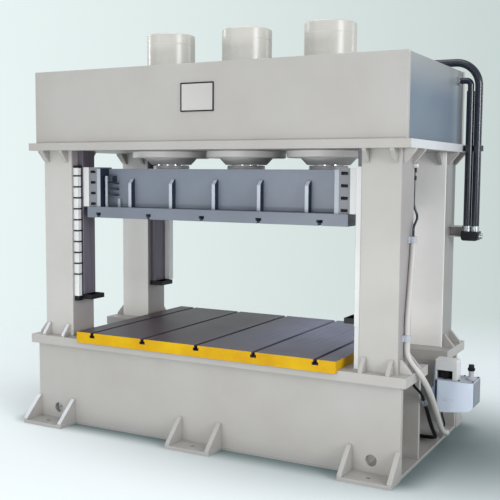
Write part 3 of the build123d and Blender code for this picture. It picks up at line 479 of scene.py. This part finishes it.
def tankPolyethylene(name):
    material, tree = newMaterial(name)
    look = tankLook
    coords = addNode(tree, "TexCoord")
    cloud = addNode(tree, "TexNoise", {}, {"Vector": (coords, "Object"), "Scale": perMetre(look["cloudMm"]),
                                           "Detail": look["cloudDetail"]})
    wall = addNode(tree, "Mix", mixColours, {"Factor": (cloud, "Fac"), "A": linear(look["front"]),
                                             "B": linear(look["cloud"])})
    shadedSide = addNode(tree, "MapRange", {}, {"Value": (faceAim(tree), "X"), "From Min": look["shadedFrom"],
                                           "From Max": look["shadedTo"]})
    tone = addNode(tree, "Mix", mixColours, {"Factor": (shadedSide, "Result"), "A": (wall, "Result"),
                                             "B": linear(look["end"])})
    soft = addNode(tree, "Bevel", roundSamples, {"Radius": look["edgeMm"] / 1000})
    body = addNode(tree, "BsdfPrincipled", {}, {"Base Color": (tone, "Result"), "Roughness": look["rough"],
                                                "Subsurface Weight": look["soak"],
                                                "Subsurface Scale": look["soakMm"] / 1000,
                                                "Normal": (soft, "Normal"), "IOR": look["ior"]})
    closeMaterial(tree, body)
    return material


finishes = {}
for makeFinish, names in ((enamel, enamelLooks), (steel, steelLooks), (moulded, mouldedLooks),
                          (twoTonePlates, plateCoats), (gussetsWithPaintedHighlight, ["enamelWithPaintedHighlightOnSlopes"]),
                          (endWallsWithPaintedLightAtTop, ["slateWithPaintedLightAtTheTop"]),
                          (barrelsWithPaintedLightBelow, ["greyBarrelsWithPaintedLightBelow"]),
                          (bedIronAndYellow, ["planedIronWithYellowSides"]),
                          (tankPolyethylene, ["blownPolyethylene"])):
    for finishName in names:
        finishes[finishName] = makeFinish(finishName)
print("materials made:", len(finishes))


# Which finish each of the record's slots takes
slotFinish = {
    "frame_paint": "frameEnamel",
    "slide_paint": "slideEnamel",
    "end_paint": "endEnamel",
    "pale_paint": "paleEnamel",
    "dark_paint": "navyEnamel",
    "bed_iron": "planedIronWithYellowSides",
    "machined_steel": "turnedSteel",
    "rail_steel": "oiledRailSteel",
    "rod_chrome": "hardChrome",
    "black_steel": "blackEnamel",
    "hose_rubber": "hoseRubber",
    "light_conduit": "conduitPlastic",
    "housing_white": "whiteEnamel",
    "tank_plastic": "blownPolyethylene",
    "black_plastic": "blackNylon",
    "fitting_steel": "zincPlate",
}
nodeFinish = {  # nodes whose finish differs from their slot's
    "cylinder_barrels": "greyBarrelsWithPaintedLightBelow",
    "cylinder_caps": "cylinderEnamel",
    "cylinder_glands": "litFlangeEnamel",
    "rod_flanges": "litFlangeEnamel",
    "slide_plate": "slidePlateEnamel",
    "slide_end_plates": "paleEndPlatesWithPaintedShadeOnRightFaces",
    "slide_webs": "websWithPaintedHighlightAndShade",
    "crown_flange": "flangeWithPaintedLightAtTheEnd",
    "crown_cross_walls": "slateWithPaintedLightAtTheTop",
    "upright_front_right": "uprightWithShadedSide",
    "upright_front_left": "uprightWithPaintedShadeInside",
    "upright_back_right": "uprightWithPaintedLightFrontAndShadedSide",
    "upright_back_left": "uprightWithPaintedLightFrontAndShadeInside",
    "upright_foot_braces": "enamelWithPaintedHighlightOnSlopes",
    "foot_webs": "enamelWithPaintedHighlightOnSlopes",
    "port_elbow": "hoseRubber",
    "conduit_clips": "paleEnamel",
    # painted shade on the bracket beside the tank
    "lubricator_bracket": "endEnamel",
    "lubricator_lid": "paleEnamel",
    "lubricator_filler": "paleEnamel",
    "drain_hoses": "drainRubber",
    "lubricator_hose": "drainRubber",
    "guide_shoes": "shoeEnamel",
    "guide_gibs": "whiteEnamel",
}


def dressNodes():
    slots = {row["node"]: row["material_slot"] for row in frame["record"]["subparts"]}
    for name, node in nodes.items():
        finish = finishes[nodeFinish.get(name, slotFinish[slots[name]])]
        node.data.materials.clear()
        node.data.materials.append(finish)


dressNodes()
print("nodes dressed")


# Shared helpers for modelled pieces
squareOn = 0.9  # how nearly a face has to look along a direction to be picked
smoothAngle = 40.0  # degrees up to which an edge is shaded smooth


def pickOnly(*pieces):
    bpy.ops.object.select_all(action="DESELECT")
    for piece in pieces:
        piece.select_set(True)
    bpy.context.view_layer.objects.active = pieces[0]


def settlePiece(name, finish):
    bpy.ops.object.transform_apply(location=True, rotation=True, scale=True)
    piece = bpy.context.object
    piece.name = name
    piece.data.materials.append(finishes[finish])
    return piece


def addBlock(name, low, high, finish):
    bpy.ops.object.select_all(action="DESELECT")
    bpy.ops.mesh.primitive_cube_add(size=1.0, location=[(a + b) / 2 for a, b in zip(low, high)],
                                    scale=[b - a for a, b in zip(low, high)])
    return settlePiece(name, finish)


def addDisc(name, centre, radius, depth, axis, finish, sides):
    bpy.ops.object.select_all(action="DESELECT")
    turn = {"X": (0.0, math.pi / 2, 0.0), "Y": (math.pi / 2, 0.0, 0.0), "Z": (0.0, 0.0, 0.0)}[axis]
    bpy.ops.mesh.primitive_cylinder_add(vertices=sides, radius=radius, depth=depth, location=centre, rotation=turn)
    return settlePiece(name, finish)


def editFaces(piece, direction, bothWays=False):
    # Leaves the piece in edit mode with the faces picked that look along the direction
    pickOnly(piece)
    bpy.ops.object.mode_set(mode="EDIT")
    bpy.ops.mesh.select_mode(type="FACE")
    bpy.ops.mesh.select_all(action="DESELECT")
    bpy.ops.object.mode_set(mode="OBJECT")
    for polygon in piece.data.polygons:
        along = polygon.normal.dot(Vector(direction))
        polygon.select = (abs(along) if bothWays else along) > squareOn
    bpy.ops.object.mode_set(mode="EDIT")


def leaveEdit():
    bpy.ops.object.mode_set(mode="OBJECT")


def roundEdges(piece, width, segments=1):
    pickOnly(piece)
    bevel = piece.modifiers.new("softEdges", "BEVEL")
    bevel.width = width
    bevel.segments = segments
    bevel.limit_method = "ANGLE"
    bpy.ops.object.modifier_apply(modifier=bevel.name)
    bpy.ops.object.shade_smooth_by_angle(angle=math.radians(smoothAngle))


def copyTo(piece, matrix):
    twin = piece.copy()
    twin.data = piece.data.copy()
    twin.data.transform(matrix)
    bpy.context.collection.objects.link(twin)
    return twin


def withCopies(piece, matrices):
    return [piece] + [copyTo(piece, matrix) for matrix in matrices]


def joinPieces(name, pieces):
    pickOnly(*pieces)
    bpy.ops.object.join()
    pieces[0].name = name
    return pieces[0]


def fit(piece, body):
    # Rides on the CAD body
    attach(piece, body)


# Badge on the crown's front: a bare plate in a black frame
badgeSettings = {"left": -0.156, "right": 0.108, "low": 2.33, "high": 2.527, "thick": 0.008, "rim": 0.0095,
                 "sink": 0.003, "edge": 0.0015, "edgeSteps": 2}


def buildBadge(settings):
    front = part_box("crown_long_walls")[0].y
    badge = addBlock("crownBadge", (settings["left"], front - settings["thick"], settings["low"]),
                     (settings["right"], front, settings["high"]), "blackEnamel")
    badge.data.materials.append(finishes["plateEnamel"])
    editFaces(badge, (0.0, -1.0, 0.0))
    bpy.ops.mesh.inset(thickness=settings["rim"])
    badge.active_material_index = 1
    bpy.ops.object.material_slot_assign()
    bpy.ops.transform.translate(value=(0.0, settings["sink"], 0.0))
    leaveEdit()
    roundEdges(badge, settings["edge"], settings["edgeSteps"])
    fit(badge, "frame")


buildBadge(badgeSettings)
print("badge built")


# Rungs of the left light curtain: thin dark bars from its face across to the rail
curtainDepth = 0.040  # how far the curtains stand out from the uprights' inner faces
rungSettings = {"highest": 1.885, "pitch": 0.0827, "count": 10, "high": 0.011, "out": 0.004, "in": 0.002,
                "gap": 0.004, "rim": 0.00242, "sink": 0.0015, "edge": 0.0012}


def buildRungs(settings):
    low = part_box("light_curtains")[0]
    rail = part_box("guide_rails")[0]
    half = settings["high"] / 2
    first = addBlock("rung", (low.x + settings["in"], low.y - settings["out"], settings["highest"] - half),
                     (rail.x + curtainDepth + settings["out"], rail.y - settings["gap"],
                      settings["highest"] + half), "blackEnamel")
    editFaces(first, (1.0, 0.0, 0.0))
    bpy.ops.mesh.inset(thickness=settings["rim"])
    bpy.ops.transform.translate(value=(-settings["sink"], 0.0, 0.0))
    leaveEdit()
    roundEdges(first, settings["edge"])
    rungs = withCopies(first, [Matrix.Translation((0.0, 0.0, -step * settings["pitch"]))
                               for step in range(1, settings["count"])])
    fit(joinPieces("curtainRungs", rungs), "frame")


buildRungs(rungSettings)
print("rungs built")


# Dark end blocks of the left light curtain, and the small junction box above the switch cable
endSettings = {"low": (0.938, 0.974), "high": (1.944, 1.962), "out": 0.003, "in": 0.001, "gap": 0.003,
               "rim": 0.004, "rise": 0.001, "edge": 0.0025}
boxSettings = {"out": 0.024, "left": -0.404, "right": -0.371, "low": 1.957, "high": 1.981, "lid": 0.003,
               "edge": 0.0015}


def buildCurtainEnds(settings):
    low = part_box("light_curtains")[0]
    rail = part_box("guide_rails")[0]
    blocks = []
    for bottom, top in (settings["low"], settings["high"]):
        block = addBlock("curtainEnd", (low.x + settings["in"], low.y - settings["out"], bottom),
                         (low.x + curtainDepth + settings["out"], rail.y - settings["gap"], top), "blackEnamel")
        editFaces(block, (0.0, -1.0, 0.0))
        bpy.ops.mesh.inset(thickness=settings["rim"])
        bpy.ops.transform.translate(value=(0.0, -settings["rise"], 0.0))
        leaveEdit()
        roundEdges(block, settings["edge"])
        blocks.append(block)
    fit(joinPieces("curtainEnds", blocks), "frame")


def buildJunctionBox(settings):
    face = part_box("upright_front_right")[1].x
    box = addBlock("junctionBox", (face, settings["left"], settings["low"]),
                   (face + settings["out"], settings["right"], settings["high"]), "whiteEnamel")
    editFaces(box, (1.0, 0.0, 0.0))
    bpy.ops.mesh.inset(thickness=settings["lid"])
    bpy.ops.mesh.extrude_region_move(TRANSFORM_OT_translate={"value": (settings["lid"], 0.0, 0.0)})
    leaveEdit()
    roundEdges(box, settings["edge"])
    fit(box, "frame")


buildCurtainEnds(endSettings)
buildJunctionBox(boxSettings)
print("curtain ends and junction box built")


# Weld beads where plates meet: one bead modelled a metre long, then copied along each seam
weldSettings = {"radius": 0.0065, "sides": 8, "endShrink": 0.45, "smooth": 50.0, "footReach": 0.17,
                "webThick": 0.026, "webCount": 5}


def seam(bead, start, end):
    start, end = Vector(start), Vector(end)
    along = end - start
    turn = Vector((1.0, 0.0, 0.0)).rotation_difference(along.normalized()).to_matrix().to_4x4()
    return copyTo(bead, Matrix.Translation((start + end) / 2) @ turn @ Matrix.Diagonal((along.length, 1, 1, 1)))


def frameSeams(settings):
    seams = []
    for name in ("front_right", "front_left", "back_right", "back_left"):
        low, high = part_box("upright_" + name)
        for z in (low.z, high.z):
            seams += [((low.x, low.y, z), (high.x, low.y, z)), ((low.x, high.y, z), (high.x, high.y, z)),
                      ((low.x, low.y, z), (low.x, high.y, z)), ((high.x, low.y, z), (high.x, high.y, z))]
    low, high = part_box("base_long_walls")
    crownLow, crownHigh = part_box("crown_long_walls")
    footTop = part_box("foot_plates")[1].z
    for y in (low.y, high.y):
        seams += [((low.x, y, high.z), (high.x, y, high.z)), ((low.x, y, low.z), (high.x, y, low.z)),
                  ((crownLow.x, y, crownLow.z), (crownHigh.x, y, crownLow.z)),
                  ((-settings["footReach"], y, footTop), (settings["footReach"], y, footTop))]
    return seams


def slideSeams(settings):
    beamLow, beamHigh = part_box("slide_beam")
    webLow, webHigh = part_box("slide_webs")
    webThick = settings["webThick"]
    webPitch = (webHigh.x - webLow.x - webThick) / (settings["webCount"] - 1)
    seams = []
    for y in (beamLow.y, beamHigh.y):
        seams += [((beamLow.x, y, beamLow.z), (beamHigh.x, y, beamLow.z))]
        for step in range(settings["webCount"]):
            x = webLow.x + webThick / 2 + step * webPitch
            seams += [((x + side * webThick / 2, y, webLow.z), (x + side * webThick / 2, y, webHigh.z))
                      for side in (-1, 1)]
    return seams


def buildWelds(settings):
    bead = addDisc("bead", (0.0, 0.0, 0.0), settings["radius"], 1.0, "X", "frameEnamel", settings["sides"])
    editFaces(bead, (1.0, 0.0, 0.0), bothWays=True)
    bpy.ops.transform.resize(value=(1.0, settings["endShrink"], settings["endShrink"]))
    leaveEdit()
    bpy.ops.object.shade_smooth_by_angle(angle=math.radians(settings["smooth"]))
    frameWelds = joinPieces("frameWelds", [seam(bead, *ends) for ends in frameSeams(settings)])
    fit(frameWelds, "frame")
    slideWelds = joinPieces("slideWelds", [seam(bead, *ends) for ends in slideSeams(settings)])
    # the slide's beads are navy, as painted shade lines beside the webs and along the beam
    slideWelds.data.materials[0] = finishes["navyEnamel"]
    fit(slideWelds, "slide")
    bpy.data.objects.remove(bead)


buildWelds(weldSettings)
print("welds built")


# Lubricator: grip ribs round the cap, fins and a back plate at the pump, level marks on the tank, lid screws
capSettings = {"count": 20, "wide": 0.0036, "out": 0.0028, "in": 0.0005, "root": 0.001, "high": 0.017,
               "lift": 0.003, "topWide": 0.5, "topHigh": 0.9, "edge": 0.0008}
pumpSettings = {"fins": 5, "radius": 0.0295, "sides": 28, "thick": 0.0028, "pitch": 0.0085, "first": 0.004,
                "neck": 0.62, "groove": 0.0007, "plateOver": 0.006, "plateLeft": 0.008, "plateThick": 0.005,
                "plateRim": 0.004, "plateSink": 0.002}
markSettings = {"heights": (0.352, 0.364), "left": 0.045, "right": 0.125, "high": 0.0035, "out": 0.0016,
                "in": 0.001, "faceWide": 0.98, "faceHigh": 0.5, "edge": 0.0006}
screwSettings = {"radius": 0.0062, "high": 0.006, "socket": 0.0034, "sink": 0.003, "in": 0.014, "sides": 18,
                 "edge": 0.0006}


def buildCapRibs(settings):
    low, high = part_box("lubricator_cap")
    centre = (low + high) / 2
    skirt = high.x - settings["in"]
    base = low.z + settings["lift"]
    half = settings["wide"] / 2
    rib = addBlock("rib", (skirt - settings["root"], centre.y - half, base),
                   (skirt + settings["out"], centre.y + half, base + settings["high"]), "blackNylon")
    editFaces(rib, (1.0, 0.0, 0.0))
    bpy.ops.transform.resize(value=(1.0, settings["topWide"], settings["topHigh"]))
    leaveEdit()
    roundEdges(rib, settings["edge"])
    away = Matrix.Translation((-centre.x, -centre.y, 0.0))
    back = Matrix.Translation((centre.x, centre.y, 0.0))
    ribs = withCopies(rib, [back @ Matrix.Rotation(step * math.tau / settings["count"], 4, "Z") @ away
                            for step in range(1, settings["count"])])
    fit(joinPieces("capRibs", ribs), "filler_cap")


def buildPumpFins(settings):
    low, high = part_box("lubricator_pump")
    centre = (low + high) / 2
    fin = addDisc("fin", (centre.x, low.y + settings["first"], centre.z), settings["radius"], settings["thick"],
                  "Y", "blackNylon", settings["sides"])
    editFaces(fin, (0.0, 1.0, 0.0), bothWays=True)
    bpy.ops.mesh.inset(thickness=settings["radius"] * (1 - settings["neck"]))
    bpy.ops.transform.resize(value=(1.0, 1.0 - 2 * settings["groove"] / settings["thick"], 1.0))
    leaveEdit()
    roundEdges(fin, settings["groove"])
    fins = withCopies(fin, [Matrix.Translation((0.0, step * settings["pitch"], 0.0))
                            for step in range(1, settings["fins"])])
    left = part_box("lubricator_head")[0].x + settings["plateLeft"]
    plate = addBlock("pumpPlate", (left, high.y - settings["plateThick"], low.z - settings["plateOver"]),
                     (2 * centre.x - left, high.y, high.z + settings["plateOver"]), "blackNylon")
    editFaces(plate, (0.0, -1.0, 0.0))
    bpy.ops.mesh.inset(thickness=settings["plateRim"])
    bpy.ops.transform.translate(value=(0.0, settings["plateSink"], 0.0))
    leaveEdit()
    roundEdges(plate, settings["groove"])
    fit(joinPieces("pumpFins", fins + [plate]), "frame")


def buildLevelMarks(settings):
    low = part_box("lubricator_tank")[0]
    marks = []
    for height in settings["heights"]:
        mark = addBlock("mark", (low.x + settings["left"], low.y - settings["out"], height),
                        (low.x + settings["right"], low.y + settings["in"], height + settings["high"]),
                        "whiteEnamel")
        editFaces(mark, (0.0, -1.0, 0.0))
        bpy.ops.transform.resize(value=(settings["faceWide"], 1.0, settings["faceHigh"]))
        leaveEdit()
        roundEdges(mark, settings["edge"])
        marks.append(mark)
    fit(joinPieces("tankLevelMarks", marks), "frame")


def buildLidScrews(settings):
    low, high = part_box("lubricator_lid")
    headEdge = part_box("lubricator_head")[1].x
    inset = settings["in"]
    places = [Vector((x, y, high.z + settings["high"] / 2)) for x in (headEdge + inset, high.x - inset)
              for y in (low.y + inset, high.y - inset)]
    screw = addDisc("screw", places[0], settings["radius"], settings["high"], "Z", "blackEnamel", settings["sides"])
    editFaces(screw, (0.0, 0.0, 1.0))
    bpy.ops.mesh.inset(thickness=settings["radius"] - settings["socket"])
    bpy.ops.transform.translate(value=(0.0, 0.0, -settings["sink"]))
    leaveEdit()
    roundEdges(screw, settings["edge"])
    screws = withCopies(screw, [Matrix.Translation(place - places[0]) for place in places[1:]])
    fit(joinPieces("lidScrews", screws), "frame")


buildCapRibs(capSettings)
buildPumpFins(pumpSettings)
buildLevelMarks(markSettings)
buildLidScrews(screwSettings)
print("lubricator details built")


# Crimped rings round the hoses' lower ferrules
crimpSettings = {"hoses": ("outer_hose", "inner_hose"), "over": 0.0018, "thick": 0.0045, "rim": 0.0036,
                 "heights": (1.514, 1.525, 1.536), "waist": 0.55, "edge": 0.0008, "sides": 40}


def buildCrimpRings(settings):
    rings = []
    for hose in settings["hoses"]:
        low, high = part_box(hose)
        radius = (high.y - low.y) / 2
        for height in settings["heights"]:
            centre = (high.x - radius, (low.y + high.y) / 2, height)
            ring = addDisc("ring", centre, radius + settings["over"], settings["thick"], "Z", "zincPlate",
                           settings["sides"])
            editFaces(ring, (0.0, 0.0, 1.0), bothWays=True)
            bpy.ops.mesh.inset(thickness=settings["rim"])
            bpy.ops.transform.resize(value=(1.0, 1.0, settings["waist"]), center_override=centre)
            leaveEdit()
            roundEdges(ring, settings["edge"])
            rings.append(ring)
    fit(joinPieces("crimpRings", rings), "frame")


buildCrimpRings(crimpSettings)
print("crimp rings built")


# Floor that keeps the shadow near the press and melts into the backdrop further off
stageSettings = {
    "radius": 30.0,
    "sides": 96,
    "centre": (0.2, 0.2),
    "fadeFrom": 2.6,
    "fadeTo": 6.5,
    "floor": "#ECF1F1",
    "shade": "#687676",  # soft pool of shadow under the press and to its right
    "shadeCentre": (0.96, 0.13),
    "shadeSpread": (1.82, 0.92),
    "shadeFrom": 0.0,
    "shadeTo": 2.0,
    "contact": "#727F7F",  # painted shade: the floor is at least this dark right beside the base
    "contactReach": 0.23,
    "backdropLeft": "#EAF6F5",
    "backdropRight": "#C6D2CF",
    "backdropFrom": -0.72,  # X of the direction where the left tone gives way
    "backdropTo": -0.15,  # and where the right one is full
    "worldLight": "#E9EEF2",
    "worldStrength": 0.75,
}


def buildFloor(settings):
    bpy.ops.mesh.primitive_circle_add(vertices=settings["sides"], radius=settings["radius"], fill_type="NGON",
                                      location=(*settings["centre"], 0.0))
    floor = bpy.context.object
    floor.name = "studioFloor"
    bpy.ops.object.transform_apply(location=True)
    material, tree = newMaterial("paleFloor")
    coords = addNode(tree, "TexCoord")
    away = addNode(tree, "VectorMath", {"operation": "DISTANCE"}, {0: (coords, "Object"),
                                                                   1: [*settings["centre"], 0.0]})
    fade = addNode(tree, "MapRange", smoothly, {"Value": (away, "Value"), "From Min": settings["fadeFrom"],
                                                "From Max": settings["fadeTo"]})
    stretch = [1.0 / spread for spread in settings["shadeSpread"]] + [1.0]
    shift = [-at * size for at, size in zip(settings["shadeCentre"], stretch)] + [0.0]
    pool = addNode(tree, "Mapping", {}, {"Vector": (coords, "Object"), "Scale": stretch, "Location": shift})
    reach = addNode(tree, "VectorMath", {"operation": "LENGTH"}, {0: (pool, "Vector")})
    lit = addNode(tree, "MapRange", smoothly, {"Value": (reach, "Value"), "From Min": settings["shadeFrom"],
                                               "From Max": settings["shadeTo"]})
    tone = addNode(tree, "Mix", mixColours, {"Factor": (lit, "Result"), "A": linear(settings["shade"]),
                                             "B": linear(settings["floor"])})
    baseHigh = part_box("base_floor_plate")[1]
    mirrored = addNode(tree, "VectorMath", {"operation": "ABSOLUTE"}, {0: (coords, "Object")})
    beyond = addNode(tree, "VectorMath", {"operation": "SUBTRACT"}, {0: (mirrored, "Vector"),
                                                                     1: [baseHigh.x, baseHigh.y, 0.0]})
    outside = addNode(tree, "VectorMath", {"operation": "MAXIMUM"}, {0: (beyond, "Vector"), 1: [0.0, 0.0, 0.0]})
    gap = addNode(tree, "VectorMath", {"operation": "LENGTH"}, {0: (outside, "Vector")})
    near = addNode(tree, "MapRange", smoothly, {"Value": (gap, "Value"), "From Min": settings["contactReach"],
                                                "From Max": 0.0})
    grounded = addNode(tree, "Mix", {**mixColours, "blend_type": "DARKEN"},
                       {"Factor": (near, "Result"), "A": (tone, "Result"), "B": linear(settings["contact"])})
    matt = addNode(tree, "BsdfDiffuse", {}, {"Color": (grounded, "Result")})
    clear = addNode(tree, "BsdfTransparent")
    both = addNode(tree, "MixShader", {}, {0: (fade, "Result"), 1: (matt, "BSDF"), 2: (clear, "BSDF")})
    closeMaterial(tree, both, "Shader")
    floor.data.materials.append(material)


# Air round the press: it lights softly, and camera and mirrors see the backdrop's two tones
def buildWorld(settings):
    world = bpy.data.worlds.new("studioAir")
    world.use_nodes = True
    bpy.context.scene.world = world
    tree = world.node_tree
    tree.nodes.clear()
    coords = addNode(tree, "TexCoord")
    aim = addNode(tree, "SeparateXYZ", {}, {"Vector": (coords, "Generated")})
    across = addNode(tree, "MapRange", {}, {"Value": (aim, "X"), "From Min": settings["backdropFrom"],
                                            "From Max": settings["backdropTo"]})
    tint = addNode(tree, "Mix", mixColours, {"Factor": (across, "Result"), "A": linear(settings["backdropLeft"]),
                                             "B": linear(settings["backdropRight"])})
    seen = addNode(tree, "Background", {}, {"Color": (tint, "Result")})
    light = addNode(tree, "Background", {}, {"Color": linear(settings["worldLight"]),
                                             "Strength": settings["worldStrength"]})
    path = addNode(tree, "LightPath")
    mirror = addNode(tree, "Math", {"operation": "MAXIMUM"}, {0: (path, "Is Camera Ray"),
                                                              1: (path, "Is Glossy Ray")})
    shown = addNode(tree, "Math", {"operation": "MAXIMUM"}, {0: (mirror, "Value"),
                                                             1: (path, "Is Transmission Ray")})
    both = addNode(tree, "MixShader", {}, {0: (shown, "Value"), 1: (light, "Background"), 2: (seen, "Background")})
    addNode(tree, "OutputWorld", {}, {"Surface": (both, "Shader")})


buildFloor(stageSettings)
buildWorld(stageSettings)
print("stage built")


# Soft studio lamps: weak ones ahead and overhead, a strong one at the right, and two tall strips, at the left
# and behind at the right, whose reflections run down the edges of the cylinders
lampSettings = {
    "key": {"place": (-5.0, -7.5, 5.5), "aim": (0.0, 0.0, 1.2), "size": (4.0, 3.0), "watts": 75.0,
            "colour": "#FFFDFA"},
    "top": {"place": (-0.5, -1.0, 7.0), "aim": (0.0, 0.0, 0.0), "size": (6.0, 4.0), "watts": 150.0,
            "colour": "#F6FAFF"},
    "front": {"place": (-0.4, -10.0, 1.9), "aim": (0.0, 0.0, 1.5), "size": (2.0, 3.0), "watts": 90.0,
              "colour": "#FCFCFF"},
    "right": {"place": (8.0, -3.0, 3.2), "aim": (0.0, 0.0, 1.0), "size": (3.0, 3.0), "watts": 330.0,
              "colour": "#FAFCFF"},
    "rightStrip": {"place": (6.5, 6.0, 3.4), "aim": (0.3, 0.0, 2.2), "size": (1.2, 3.0), "watts": 50.0,
                   "colour": "#FAFCFF"},
    "leftStrip": {"place": (-8.5, 0.3, 3.2), "aim": (0.0, 0.0, 2.4), "size": (1.2, 3.0), "watts": 110.0,
                  "colour": "#FAFCFF"},
    "low": {"place": (-0.3, -6.0, 0.5), "aim": (0.0, 0.0, 2.0), "size": (4.0, 0.6), "watts": 95.0,
            "colour": "#FFFFFF"},
}


def hangLamp(name, settings):
    bpy.ops.object.light_add(type="AREA", location=settings["place"])
    lamp = bpy.context.object
    lamp.name = name
    lamp.data.shape = "RECTANGLE"
    lamp.data.size, lamp.data.size_y = settings["size"]
    lamp.data.energy = settings["watts"]
    lamp.data.color = linear(settings["colour"])[:3]
    aim = Vector(settings["aim"]) - Vector(settings["place"])
    lamp.rotation_mode = "QUATERNION"
    lamp.rotation_quaternion = aim.to_track_quat("-Z", "Y")


for lampName, lampLook in lampSettings.items():
    hangLamp(lampName + "Lamp", lampLook)
print("lamps hung")
